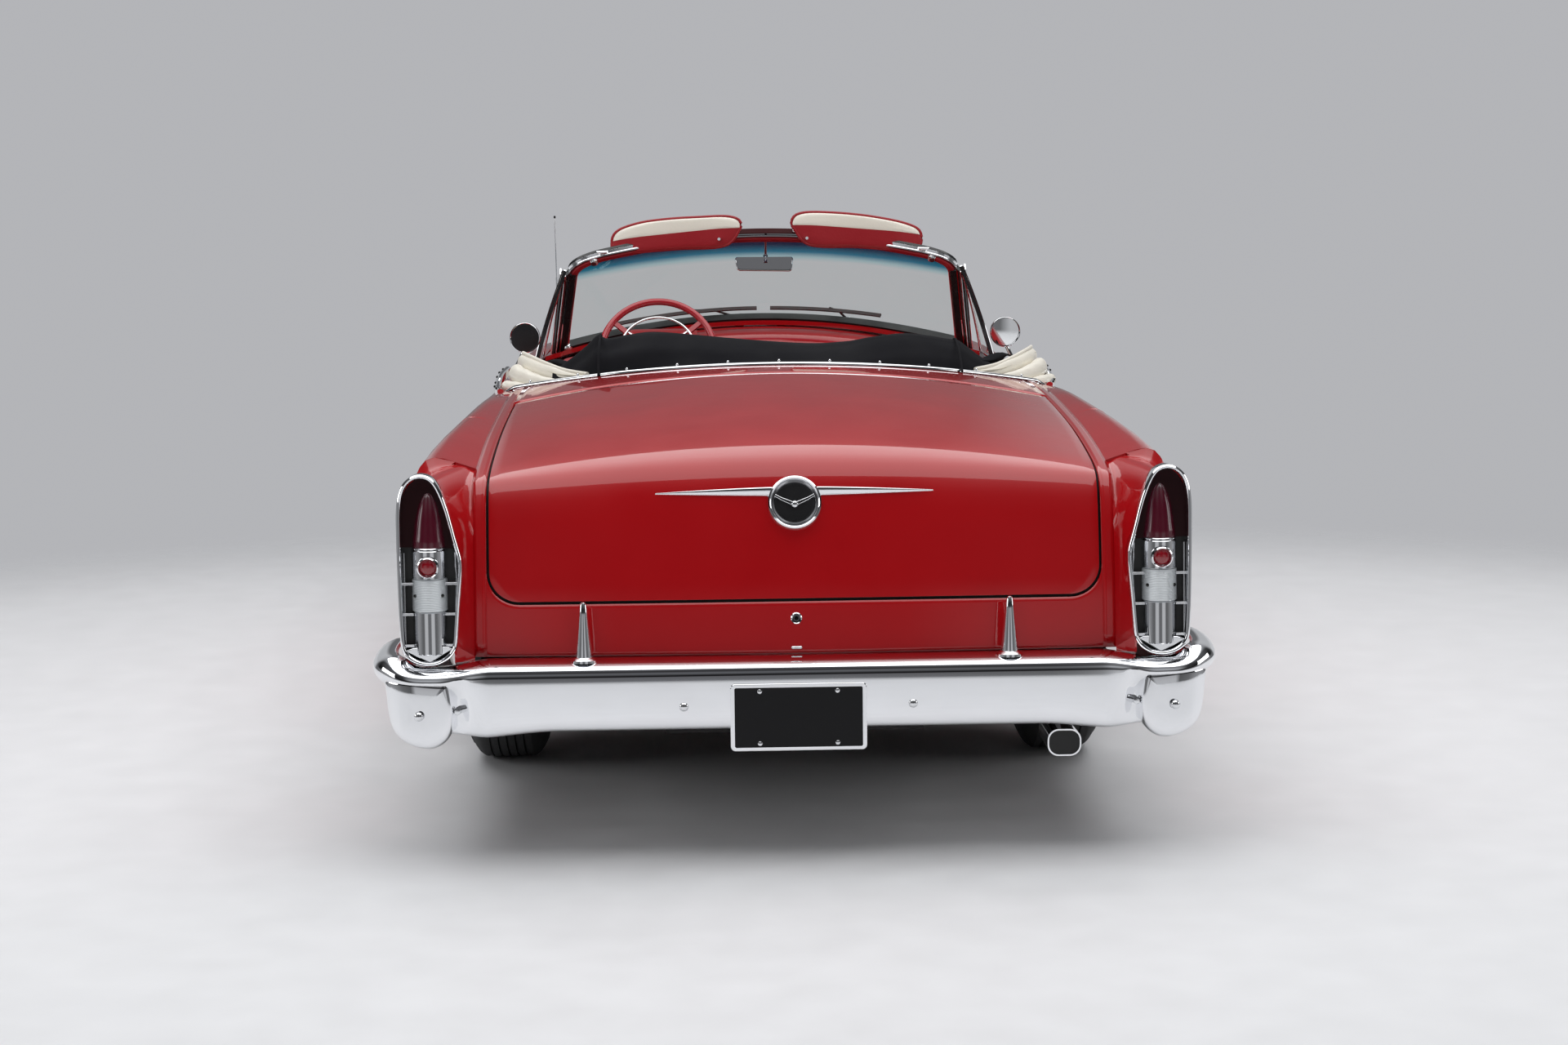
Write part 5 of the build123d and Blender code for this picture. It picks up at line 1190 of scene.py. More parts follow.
def ring_plate(name, hole, out, y, depth, mat, body=BODY, bev=.003):
    """A plate with a hole, from two outlines sampled round the same centre."""
    def at_angles(poly, n=160):
        poly = np.array(poly)
        c = np.array([0, .63])
        pts = []
        for k in range(n):
            a = 2 * math.pi * k / n
            d = np.array([math.cos(a), math.sin(a) * .45])
            best = None
            for i in range(len(poly)):
                p, q = poly[i] - c, poly[(i + 1) % len(poly)] - c
                e = q - p
                det = d[0] * -e[1] + e[0] * d[1]
                if abs(det) < 1e-12:
                    continue
                t = (p[0] * -e[1] + e[0] * p[1]) / det
                w = (d[0] * p[1] - d[1] * p[0]) / det
                if t > 0 and -1e-9 <= w <= 1 + 1e-9 and (best is None or t > best):
                    best = t
            pts.append(c + d * best)
        return np.array(pts)

    a, b = at_angles(hole), at_angles(out)
    rows = []
    for p, yy in ((a, y - depth), (a, y), (b, y), (b, y - depth)):
        rows.append([(x, yy, z) for x, z in p])
    o = grid(name, rows, mat, body, wrap_u=True, wrap_v=True, angle=30)
    bevel(o, bev, 3, 50)
    return o


hole = racetrack(.560, .510, .750, .080)
nose = ring_plate("nose_skin", hole, outer, 2.4435, .036, PAINT)
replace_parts(nose, "nose_panel")
sweep("grille_rim", [(x, 2.447, z) for x, z in racetrack(.566, .504, .756, .086)], [(-.012, -.010), (-.012, .006), (-.004, .012), (.006, .008), (.011, -.002), (.011, -.010)], CHROME, up=(0, 1, 0), closed=True)
gr = sweep("grille_bar_0", [(x, 2.449 - .012 * (x / .55) ** 2, .560) for x in np.linspace(-.545, .545, 30)], [(-.012, -.005), (.004, -.006), (.010, 0), (.004, .006), (-.012, .005)], CHROME, up=(0, 0, 1))
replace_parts(gr, "front_grille")
for k, z in enumerate((.532, .588, .616, .644, .672, .700, .728)):
    half = .545 if .54 < z < .72 else .515
    sweep(f"grille_bar_{k + 1}", [(x, 2.449 - .012 * (x / .55) ** 2, z) for x in np.linspace(-half, half, 30)], [(-.012, -.004), (.004, -.005), (.009, 0), (.004, .005), (-.012, .004)], CHROME, up=(0, 0, 1))
# painted shade: a near-black sheet behind the grille bars, standing for the shade in the space behind them
block("grille_back", (-.56, 2.408, .51), (.56, 2.412, .75), RECESS_SHADE, bev=0)
lathe("grille_centre", [(0, .024), (.014, .023), (.030, .018), (.040, .010), (.044, 0), (.044, -.016), (0, -.016)], (0, 2.452, .630), (0, 1, 0), CHROME, n=48)
for s, tag in ((1, "r"), (-1, "l")):
    c = (s * .756, 2.4465, .770)
    o = lathe(f"headlamp_rim_{tag}", [(.088, -.010), (.088, .012), (.092, .022), (.100, .026), (.108, .020), (.1125, .006), (.1135, -.012)], c, (0, 1, 0), CHROME, n=72)
    if s > 0:
        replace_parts(o, "headlamps")
    lathe(f"headlamp_lens_{tag}", [(0, .030), (.03, .0285), (.06, .024), (.085, .015), (.089, .010), (.089, -.006), (0, -.006)], c, (0, 1, 0), LENS_CLEAR, n=64)
    for k in range(-6, 7):
        x = k * .0125
        h = math.sqrt(.084**2 - x * x)
        tube(f"headlamp_flute_{tag}_{k + 6}", [(c[0] + x, c[1] + .0275 - .15 * ((x * x + z * z) / .085) * .75, c[2] + z) for z in np.linspace(-h, h, 9)], .0014, LENS_CLEAR, n=6)
    lathe(f"headlamp_bowl_{tag}", [(.1135, -.010), (.122, -.004), (.128, -.012), (.128, -.030), (.10, -.030)], c, (0, 1, 0), PAINT, n=64)
    oval = racetrack(.092, .550, .632, .040)
    prism(f"park_rim_{tag}", [(s * .756 + x, z) for x, z in oval], (0, 2.468, 0), (1, 0, 0), (0, 0, 1), .026, CHROME, bev=.008, seg=3)
    oval = racetrack(.078, .562, .620, .028)
    prism(f"park_lens_{tag}", [(s * .756 + x, z) for x, z in oval], (0, 2.474, 0), (1, 0, 0), (0, 0, 1), .018, AMBER, bev=.006, seg=3)

FB = [(2.523, .500), (2.560, .496), (2.588, .484), (2.600, .466), (2.6035, .446), (2.6035, .40), (2.601, .35), (2.596, .315), (2.589, .303), (2.578, .300), (2.566, .303)]
fb = catmull(FB, 40)
rows = []
for x in np.linspace(-.80, .80, 61):
    back = .004 * (abs(x) / .8) ** 3
    rows.append([(x, y - back, z) for y, z in fb])
f0 = grid("front_bumper_face", rows, CHROME, angle=60)
thick(f0, .005)
bevel(f0, .0012, 2, 60)
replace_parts(f0, "front_bumper")
for s, tag in ((1, "r"), (-1, "l")):
    pts = [(.785, 2.597), (.84, 2.5945)]
    for a in np.linspace(0, math.pi / 2, 14):
        pts.append((.872 + .1095 * math.sin(a), 2.4850 + .108 * math.cos(a)))
    pts += [(.9825, 2.42), (.980, 2.36), (.975, 2.305)]
    wp = resample(pts, 40)
    rows = []
    for i, (x, y) in enumerate(wp):
        k = i / 39
        zl = .306 + .090 * max(0, (k - .35) / .65) ** 1.3
        zh = .478 - .030 * max(0, (k - .35) / .65)
        j = min(max(i, 1), 38)
        t = wp[j + 1] - wp[j - 1]
        t /= np.linalg.norm(t)
        nx, ny = -t[1], t[0]
        row = []
        for v in np.linspace(0, 1, 15):
            b = .009 * (1 - (2 * v - 1) ** 2)
            row.append((s * (x + nx * (b - .007)), y + ny * (b - .007), zl + (zh - zl) * v))
        for dz, din in ((.004, .005), (.006, .013), (.006, .028)):
            row.append((s * (x - nx * (.007 + din)), y - ny * (.007 + din), zh + dz))
        rows.append(row)
    o = grid(f"front_bumper_wing_{tag}", rows, CHROME, angle=60)
    thick(o, .004)
    guard = [(-.035, 0), (.035, 0), (.032, .12), (.020, .152), (0, .158), (-.020, .152), (-.032, .12)]
    prism(f"front_guard_{tag}", [(s * .420 + x, z) for x, z in guard], (0, 2.601, .395), (1, 0, 0), (0, 0, 1), .060, CHROME, bev=.012, seg=3)

# bright strips along the sides, door handles and sill mouldings
def side_x(y, z):
    p = section(y, 160)
    return float(np.interp(z, p[:90, 2], p[:90, 0]))


def strip_z(y):
    return .622 + .010 * (y + 2.3) / 4.6


for s, tag in ((1, "r"), (-1, "l")):
    for name, y0, y1, body in ((f"quarter_strip_{tag}", -2.42, -.120, BODY), (f"door_strip_{tag}", -.106, 1.142, "door_right_assembly" if s > 0 else "door_left_assembly"), (f"fender_strip_{tag}", 1.157, 2.40, BODY)):
        runs = []
        run = []
        for y in np.arange(y0, y1 + .001, .02):
            z = strip_z(y)
            cut = any(abs(y - yc) < r and z < HUB_Z + math.sqrt(r * r - (y - yc) ** 2) + .004 for yc, r in ARCH.items())
            if cut:
                if len(run) > 2:
                    runs.append(run)
                run = []
            else:
                run.append((s * (side_x(min(max(y, -2.30), 2.43), z) + .001), y, z))
        if len(run) > 2:
            runs.append(run)
        for k, r in enumerate(runs):
            sweep(f"{name}_{k}", r, [(0, -.0085), (.0045, -.0065), (.0068, 0), (.0045, .0065), (0, .0085), (-.003, .0085), (-.003, -.0085)] if s > 0 else [(0, .0085), (-.0045, .0065), (-.0068, 0), (-.0045, -.0065), (0, -.0085), (.003, -.0085), (.003, .0085)], CHROME, body)
    body = "door_right_assembly" if s > 0 else "door_left_assembly"
    hx = side_x(.02, .80)
    hp = smooth_path([(s * (hx - .004), .098, .803), (s * (hx + .016), .085, .803), (s * (hx + .021), .02, .802), (s * (hx + .016), -.045, .801), (s * (hx - .004), -.058, .801)], 26)
    sweep(f"door_handle_{tag}", hp, [(-.006, -.009), (.004, -.011), (.007, 0), (.004, .011), (-.006, .009)], CHROME, body)
    lathe(f"door_button_{tag}", [(0, .012), (.008, .011), (.012, .007), (.013, 0), (.013, -.006), (0, -.006)], (s * hx, .115, .803), (s, 0, 0), CHROME, body, n=32)
    sill = [(s * .882, y, .3235) for y in np.linspace(-.90, 1.32, 40)]
    sweep(f"sill_strip_{tag}", sill, [(-.006, -.012), (.004, -.012), (.006, -.002), (.004, .006), (-.006, .006)], CHROME)
    # wheel opening lips
    for yc, r, place in ((YR, .405, "rear"), (YF, .415, "front")):
        pts = []
        for a in np.linspace(math.radians(-4), math.radians(184), 60):
            y, z = yc + (r + .002) * math.cos(a), HUB_Z + (r + .002) * math.sin(a)
            if z < .322:
                continue
            pts.append((s * (side_x(y, z) + .0005), y, z))
        sweep(f"arch_lip_{place}_{tag}", pts, [(-.004, -.003), (.004, -.003), (.004, .003), (-.004, .003)], CHROME, up=(s, 0, 0))

# ---------------------------------------------------------------- wheels

def wheel(place, s, yc):
    body = "road_wheel_" + place
    cx = s * .7495
    ax = (s, 0, 0)
    c = (cx, yc, HUB_Z)
    prof = [(.1975, -.078), (.205, -.0825), (.215, -.090), (.235, -.101), (.262, -.1065), (.285, -.1060), (.305, -.101), (.325, -.091), (.338, -.082), (.3455, -.073)]
    tread = []
    for k in range(6):
        a = -.067 + k * .0228
        tread += [(.3497 + .0018 * (1 - abs(k - 2.5) / 2.5), a), (.3497 + .0018 * (1 - abs(k - 2.5) / 2.5), a + .0178), (.3435, a + .0186), (.3435, a + .0220)]
    tread = tread[:-2]
    prof = prof + tread + [(r, -h) for r, h in reversed(prof)]
    t = lathe(f"tyre_skin_{place}", prof, c, ax, TYRE, body, n=112, angle=30)
    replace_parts(t, "tyre_" + place)
    ww = [(.226, .0968), (.229, .1000), (.240, .1042), (.262, .1078), (.285, .1073), (.298, .1040), (.3005, .1022)]
    lathe(f"whitewall_{place}", ww, c, ax, WHITEWALL, body, n=112)
    for k, (r, h) in enumerate(((.3065, .1012), (.3145, .0972))):
        lathe(f"tyre_rib_{place}_{k}", [(r - .002, h - .002), (r, h + .0016), (r + .002, h - .002)], c, ax, TYRE, body, n=96)
    rim = [(.1955, .074), (.1975, .084), (.1945, .090), (.1885, .088), (.184, .078), (.181, .055), (.170, .040), (.165, -.03), (.178, -.055), (.182, -.076), (.188, -.085), (.1955, -.082)]
    w = lathe(f"rim_{place}", rim, c, ax, CHROME_SOFT, body, n=96)
    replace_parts(w, "wheel_" + place)
    lathe(f"wheel_disc_{place}", [(.165, .020), (.130, .028), (.090, .018), (.060, .004), (.060, -.010), (.095, 0), (.135, .014), (.165, .006)], c, ax, PAINT, body, n=64)
    inner = .036 if "front" in place else -.030
    lathe(f"brake_drum_{place}", [(0, .006), (.062, .006), (.066, -.002), (.134, -.008), (.142, -.014), (.144, -.058), (.136, -.064), (0, -.064)], (cx, yc, HUB_Z), ax, CAST, body, n=64)
    cover = [(.190, .086), (.187, .0925), (.180, .095), (.172, .092), (.164, .084), (.150, .079), (.118, .083), (.104, .089), (.094, .086), (.086, .078), (.066, .076), (.058, .080), (.052, .092), (.040, .1005), (.020, .1055), (0, .1065)]
    lathe(f"wheel_cover_{place}", cover, c, ax, CHROME, body, n=96)
    lathe(f"cover_ring_{place}", [(.0875, .0795), (.0865, .0815), (.068, .0795), (.0665, .0775)], c, ax, PAINT, body, n=64)
    for k in range(30):
        a = 2 * math.pi * k / 30
        d = Vector((0, math.cos(a), math.sin(a)))
        e = Vector((0, -math.sin(a), math.cos(a)))
        o = Vector(c) + Vector(ax) * .0800
        p = [(.118, -.0025), (.152, -.0045), (.160, -.0035), (.160, .0035), (.152, .0045), (.118, .0025)]
        verts = [o + d * r + e * w + Vector(ax) * (.003 * (1 if r < .13 else 0)) for r, w in p] + [o + d * r + e * w * .35 + Vector(ax) * .0075 for r, w in p]
        n = 6
        faces = [tuple(range(n)), tuple(range(2 * n - 1, n - 1, -1))] + [(i, (i + 1) % n, n + (i + 1) % n, n + i) for i in range(n)]
        vanes.append((verts, faces, body, place))
    lathe(f"valve_{place}", [(0, .022), (.0035, .021), (.004, .0), (0, 0)], (cx + s * .080, yc + .165, HUB_Z + .02), ax, RUBBER, body, n=12)


vanes = []
for place, s, yc in (("front_right", 1, YF), ("front_left", -1, YF), ("rear_right", 1, YR), ("rear_left", -1, YR)):
    vanes = []
    wheel(place, s, yc)
    allv, allf = [], []
    for verts, faces, body, _ in vanes:
        base = len(allv)
        allv += [tuple(v) for v in verts]
        allf += [tuple(base + i for i in f) for f in faces]
    make(f"cover_vanes_{place}", allv, allf, CHROME, "road_wheel_" + place, smooth=False)

# ---------------------------------------------------------------- cabin


def cushion(name, lo, hi, mat, body=BODY, grooves=0, axis=0, crown=.10, n=26, power=7.0, lean=0.0, depth=.008):
    """A stuffed cushion: a box with soft edges and a crowned face, sewn in channels across one axis."""
    lo = np.array(lo, float)
    hi = np.array(hi, float)
    c, h = (lo + hi) / 2, (hi - lo) / 2
    bm = bmesh.new()
    bmesh.ops.create_cube(bm, size=2)
    bmesh.ops.subdivide_edges(bm, edges=bm.edges, cuts=n, use_grid_fill=True)
    for v in bm.verts:
        p = np.array(v.co)
        q = p / (np.sum(np.abs(p) ** power) ** (1 / power))
        bulge = 1 + crown * (1 - p[0] ** 2) * (1 - p[1] ** 2) * (abs(p[2]) > .999)
        bulge_y = 1 + crown * .5 * (1 - p[0] ** 2) * (1 - p[2] ** 2) * (abs(p[1]) > .999)
        q[2] *= bulge
        q[1] *= bulge_y
        out = c + q * h
        if grooves:
            edge = max(abs(p[0]), abs(p[1])) if axis == 0 else abs(p[0])
            g = abs(math.cos(math.pi * (p[axis] + 1) / 2 * grooves)) ** 14
            g = g * (1 if edge < .94 else 0)
            if abs(p[2]) > .999:
                out[2] -= math.copysign(depth * g, p[2])
            elif abs(p[1]) > .999:
                out[1] -= math.copysign(depth * g, p[1])
        out[1] -= lean * (out[2] - lo[2])
        v.co = out
    me = bpy.data.meshes.new(name)
    bm.to_mesh(me)
    bm.free()
    me.materials.append(mat)
    me.polygons.foreach_set("use_smooth", [True] * len(me.polygons))
    o = bpy.data.objects.new(name, me)
    bpy.context.scene.collection.objects.link(o)
    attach(o, body)
    return o


c0 = cushion("front_cushion", (-.64, -.36, .50), (.64, .19, .665), CREAM, grooves=26)
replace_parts(c0, "front_seat")
cushion("front_cushion_edge", (-.645, .10, .47), (.645, .20, .655), REDVINYL, grooves=0)
block("front_seat_base", (-.62, -.38, .345), (.62, .12, .50), REDVINYL, bev=.012)
for s, tag in ((1, "r"), (-1, "l")):
    cushion(f"front_back_{tag}", (min(s * .008, s * .645), -.445, .60), (max(s * .008, s * .645), -.315, 1.035), CREAM, grooves=12, lean=.22, crown=.14)
    cushion(f"front_back_top_{tag}", (min(s * .006, s * .648), -.462, .93), (max(s * .006, s * .648), -.305, 1.045), REDVINYL, lean=.22, crown=.08)
    cushion(f"front_back_shell_{tag}", (min(s * .010, s * .640), -.475, .56), (max(s * .010, s * .640), -.405, 1.02), REDVINYL, lean=.22, crown=.06)
r0 = cushion("rear_cushion", (-.56, -.905, .46), (.56, -.64, .648), CREAM, grooves=22)
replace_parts(r0, "rear_seat")
cushion("rear_cushion_edge", (-.565, -.70, .44), (.565, -.635, .635), REDVINYL)
cushion("rear_back", (-.56, -.955, .62), (.56, -.865, .960), CREAM, grooves=22, lean=.18)
cushion("rear_back_top", (-.565, -.960, .905), (.565, -.860, .972), REDVINYL, lean=.18, crown=.06)
for s, tag in ((1, "r"), (-1, "l")):
    side_rear = [(-.86, .40), (-.13, .36), (-.13, .935), (-.50, .955), (-.86, .965)]
    prism(f"rear_side_trim_{tag}", side_rear, (s * .742, 0, 0), (0, 1, 0), (0, 0, 1), .014 * s, CREAM, bev=.004)
    prism(f"rear_side_band_{tag}", [(-.86, .70), (-.13, .69), (-.13, .82), (-.86, .83)], (s * .736, 0, 0), (0, 1, 0), (0, 0, 1), .010 * s, REDVINYL, bev=.003)
    body = "door_right_assembly" if s > 0 else "door_left_assembly"
    prism(f"door_card_{tag}", [(-.09, .37), (1.10, .37), (1.10, .925), (.72, .945), (-.09, .925)], (s * .779, 0, 0), (0, 1, 0), (0, 0, 1), .008 * s, CREAM, body, bev=.003)
    prism(f"door_band_{tag}", [(-.08, .68), (1.09, .69), (1.09, .83), (-.08, .82)], (s * .775, 0, 0), (0, 1, 0), (0, 0, 1), .008 * s, REDVINYL, body, bev=.003)
    prism(f"door_kick_{tag}", [(-.08, .375), (1.09, .375), (1.09, .47), (-.08, .47)], (s * .776, 0, 0), (0, 1, 0), (0, 0, 1), .006 * s, CARPET, body, bev=.002)
    for z in (.672, .836):
        sweep(f"door_bright_{tag}_{round(z * 1000)}", [(s * .773, y, z + .006 * y) for y in np.linspace(-.08, 1.09, 12)], [(-.003, -.004), (.003, -.004), (.003, .004), (-.003, .004)], CHROME, body)
    arm = smooth_path([(s * .768, -.02, .655), (s * .735, .01, .660), (s * .735, .30, .662), (s * .768, .34, .660)], 20)
    sweep(f"door_armrest_{tag}", arm, [(-.020, -.022), (.020, -.022), (.024, .006), (.012, .018), (-.012, .018), (-.024, .006)], REDVINYL, body)
    for name, y, z in (("window", .42, .60), ("vent", .66, .78)):
        q = Vector((s * .772, y, z))
        lathe(f"door_{name}_boss_{tag}", [(0, .014), (.012, .013), (.018, .006), (.020, 0), (0, 0)], q, (-s, 0, 0), CHROME, body, n=24)
        rod(f"door_{name}_crank_{tag}", q + Vector((-s * .012, 0, 0)), q + Vector((-s * .020, .075, -.030)), .0045, CHROME, body, n=12)
        lathe(f"door_{name}_knob_{tag}", [(0, .026), (.007, .024), (.009, .014), (.006, .004), (0, 0)], q + Vector((-s * .018, .076, -.030)), (-s, 0, 0), REDPLASTIC, body, n=20)
    rod(f"door_pull_{tag}", (s * .766, .10, .755), (s * .766, .17, .755), .006, CHROME, body)
    sweep(f"door_top_{tag}", [(s * (.805 + .012 * (y > .9)), y, float(pchip(SIDE[:, 0], SIDE[:, 10], [y])[0]) + .004) for y in np.linspace(-.095, .42, 20)], [(-.010, -.004), (.010, -.004), (.006, .004), (-.006, .004)], CHROME, body)

# floor covering
rows = [[(x, y, .3435 + (.10 * math.exp(-(x / .13) ** 2) if y > -.60 else .06 * math.exp(-(x / .10) ** 2))) for x in np.linspace(-.725, .725, 60)] for y in np.linspace(-.69, 1.02, 40)]
carpet = grid("carpet", rows, CARPET, angle=60)

# dashboard
dash = []
for x in np.linspace(-.736, .736, 61):
    c = 1.050 - .106 * (x / .738) ** 2
    prof = [(1.120, c - .004), (1.04, c), (.93, c + .001), (.82, c - .003), (.765, c - .014), (.744, c - .032), (.738, c - .052), (.745, c - .070), (.752, .895 if c > .99 else c - .09), (.744, .880), (.738, .850), (.756, .805), (.80, .792)]
    prof = catmull(prof, 44)
    dash.append([(x, y, z) for y, z in prof])
d0 = grid("dash_skin", dash, PAINT, angle=50)
thick(d0, .012, 1)
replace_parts(d0, "dashboard")
sweep("dash_bright", [(x, .7345, 1.050 - .106 * (x / .738) ** 2 - .060) for x in np.linspace(-.725, .725, 40)], [(-.003, -.006), (.004, -.006), (.004, .006), (-.003, .006)], CHROME)
pod = [(.866, .995), (.862, 1.040), (.840, 1.061), (.80, 1.067), (.755, 1.061), (.722, 1.046), (.712, 1.020), (.716, .985), (.735, .965), (.80, .960)]
pod = catmull(pod + [pod[0]], 50)[:-1]
rows = [[(-.360 + .130 * k, y, z) for y, z in [(0.79 + (p[0] - .79) * (1 - .10 * abs(k) ** 6), 1.0 + (p[1] - 1.0) * (1 - .10 * abs(k) ** 6)) for p in pod]] for k in np.linspace(-1, 1, 25)]
grid("gauge_hood", rows, PAINT, wrap_v=True, caps=True, angle=50)
FACE_N = Vector((0, -1, .12)).normalized()
for k, (x, r) in enumerate(((-.430, .040), (-.360, .030), (-.290, .040))):
    c = Vector((x, .713, 1.008))
    lathe(f"gauge_ring_{k}", [(r - .003, -.003), (r - .003, .004), (r, .006), (r + .003, .003), (r + .004, -.003)], c, FACE_N, CHROME, n=40)
    lathe(f"gauge_face_{k}", [(0, .001), (r - .002, .001), (r - .002, -.002), (0, -.002)], c, FACE_N, PLATE, n=40)
    lathe(f"gauge_hub_{k}", [(0, .006), (.004, .005), (.005, .001), (0, .001)], c, FACE_N, CHROME, n=16)
    rod(f"gauge_needle_{k}", c + FACE_N * .004, c + FACE_N * .004 + Vector((r * .55, 0, r * .45)), .0009, WHITEWALL, n=8)
    for j in range(9):
        a = math.radians(220 - j * 32.5)
        q = c + Vector((math.cos(a) * r * .82, -.0022, math.sin(a) * r * .82))
        block(f"gauge_tick_{k}_{j}", tuple(q - Vector((.001, .0004, .001))), tuple(q + Vector((.001, .0004, .001))), WHITEWALL, bev=0)
block("radio_face", (-.11, .728, .885), (.11, .742, .945), CHROME, bev=.004)
block("radio_dial", (-.07, .7255, .915), (.07, .730, .937), PLATE, bev=.001)
for k, x in enumerate((-.088, .088, -.20, -.24, .20)):
    lathe(f"dash_knob_{k}", [(0, .026), (.008, .025), (.0115, .020), (.012, .008), (.007, .002), (.007, -.006), (0, -.006)], (x, .729, .905), (0, -1, 0), CHROME, n=24)
for k in range(5):
    block(f"radio_key_{k}", (-.055 + k * .024, .722, .892), (-.037 + k * .024, .730, .906), WHITEWALL, bev=.001)
prism("glove_lid", [(.26, .872), (.62, .860), (.62, .930), (.26, .950)], (0, .732, 0), (1, 0, 0), (0, 0, 1), .006, PAINT, bev=.003)
lathe("glove_button", [(0, .012), (.006, .011), (.009, .006), (.009, 0), (0, 0)], (.44, .727, .928), (0, -1, 0), CHROME, n=20)

# steering wheel
WC = Vector((-.360, .256, 1.013))
WN = Vector((0, -math.cos(math.radians(28)), math.sin(math.radians(28))))
WU = Vector((0, math.sin(math.radians(28)), math.cos(math.radians(28))))
WX = Vector((1, 0, 0))
SW = "steering_wheel_body"


def wp3(r, a, h=0.0):
    a = math.radians(a)
    return WC + WX * (r * math.cos(a)) + WU * (r * math.sin(a)) + WN * h


rim = sweep("wheel_rim", [wp3(.189, a) for a in np.linspace(0, 360, 121)[:-1]], circle(.0112, 16, 1.12), REDPLASTIC, SW, up=WN, closed=True)
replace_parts(rim, "steering_wheel")
for k in range(24):
    a = 200 + k * 140 / 23 if False else 0
for k, a in enumerate((38, 142, 218, 322)):
    p = [wp3(.030, a, .006), wp3(.080, a, -.004), wp3(.140, a, -.006), wp3(.182, a, 0)]
    sweep(f"wheel_spoke_{k}", smooth_path([tuple(q) for q in p], 16), [(-.011, -.004), (.011, -.004), (.009, .004), (-.009, .004)], REDPLASTIC, SW, up=WN, scale=list(np.linspace(1.1, .8, 16)))
    p = [wp3(.035, a, .013), wp3(.080, a, .003), wp3(.128, a, .001)]
    sweep(f"wheel_spoke_bright_{k}", smooth_path([tuple(q) for q in p], 12), [(-.003, -.002), (.003, -.002), (.002, .003), (-.002, .003)], CHROME, SW, up=WN)
tube("horn_ring", [tuple(wp3(.128, a, .006)) for a in np.linspace(0, 360, 91)[:-1]], .0038, CHROME, SW, closed=True, up=WN, n=12)
lathe("wheel_hub", [(0, -.050), (.030, -.048), (.036, -.030), (.038, 0), (.040, .010), (.034, .018), (.0, .018)], WC, WN, REDPLASTIC, SW, n=48)
lathe("horn_button", [(.032, .016), (.031, .024), (.024, .030), (.012, .034), (0, .035)], WC, WN, CHROME, SW, n=48)
lathe("horn_button_centre", [(.016, .0335), (.015, .0365), (.008, .038), (0, .0385)], WC, WN, REDPLASTIC, SW, n=32)
rod("column_jacket", WC - WN * .075, WC - WN * .40, .024, PAINT, r2=.026, n=28)
lathe("column_collar", [(0, 0), (.031, 0), (.033, .012), (.031, .022), (0, .022)], WC - WN * .092, WN, CHROME, n=32)
rod("shift_lever", WC - WN * .105, WC - WN * .070 + WX * .185 + WU * .020, .0042, CHROME, n=12)
lathe("shift_knob", [(0, -.012), (.008, -.010), (.012, 0), (.010, .010), (0, .014)], WC - WN * .070 + WX * .187 + WU * .020, WX, REDPLASTIC, n=20)
rod("signal_lever", WC - WN * .100, WC - WN * .075 - WX * .130 + WU * .012, .0034, CHROME, n=12)
for k, (x, w, z) in enumerate(((-.44, .05, .48), (-.30, .06, .47), (-.19, .045, .45))):
    block(f"pedal_{k}", (x - w / 2, .88, z - .035), (x + w / 2, .90, z + .035), RUBBER, bev=.005)
    rod(f"pedal_arm_{k}", (x, .90, z), (x, 1.02, z + .10), .008, BLACK, n=10)

# ---------------------------------------------------------------- finish of the parts that come straight from the frame

LOOKS = {
    "cowl_panel": PAINT, "rocker_panels": PAINT, "inner_wings": UNDER, "wheel_housings": UNDER, "floor_pan": UNDER, "chassis_frame": UNDER,
    "front_suspension": UNDER, "rear_axle": UNDER, "engine": CAST, "exhaust": STEEL, "fuel_tank": UNDER, "knuckle_left": CAST,
    "knuckle_right": CAST, "steering_column": REDPLASTIC,
}
for node, mat in LOOKS.items():
    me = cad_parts[node].data
    me.materials.clear()
    me.materials.append(mat)

# ---------------------------------------------------------------- studio

def flat_material(name, colour, rough=0.5):
    m = material(name, colour, rough)
    m.node_tree.nodes["Principled BSDF"].inputs["Specular IOR Level"].default_value = 0.15
    return m


FLOOR = flat_material("studio_floor", (0.78, 0.785, 0.80), 0.55)
FLOOR.blend_method = "BLEND"
nt = FLOOR.node_tree
co = nt.nodes.new("ShaderNodeTexCoord")
far = nt.nodes.new("ShaderNodeVectorMath")
far.operation = "LENGTH"
fade = nt.nodes.new("ShaderNodeMapRange")
fade.interpolation_type = "SMOOTHSTEP"
fade.inputs["From Min"].default_value = 3.9
fade.inputs["From Max"].default_value = 5.9
clear = nt.nodes.new("ShaderNodeBsdfTransparent")
mix = nt.nodes.new("ShaderNodeMixShader")
nt.links.new(co.outputs["Object"], far.inputs[0])
nt.links.new(far.outputs["Value"], fade.inputs["Value"])
nt.links.new(fade.outputs["Result"], mix.inputs["Fac"])
nt.links.new(nt.nodes["Principled BSDF"].outputs["BSDF"], mix.inputs[1])
nt.links.new(clear.outputs["BSDF"], mix.inputs[2])
nt.links.new(mix.outputs["Shader"], nt.nodes["Material Output"].inputs["Surface"])
me = bpy.data.meshes.new("floor")
me.from_pydata([(-30, -30, 0), (30, -30, 0), (30, 30, 0), (-30, 30, 0)], [], [(0, 1, 2, 3)])
me.materials.append(FLOOR)
floor = bpy.data.objects.new("floor", me)
floor.location = (0, -1.5, 0)
bpy.context.scene.collection.objects.link(floor)


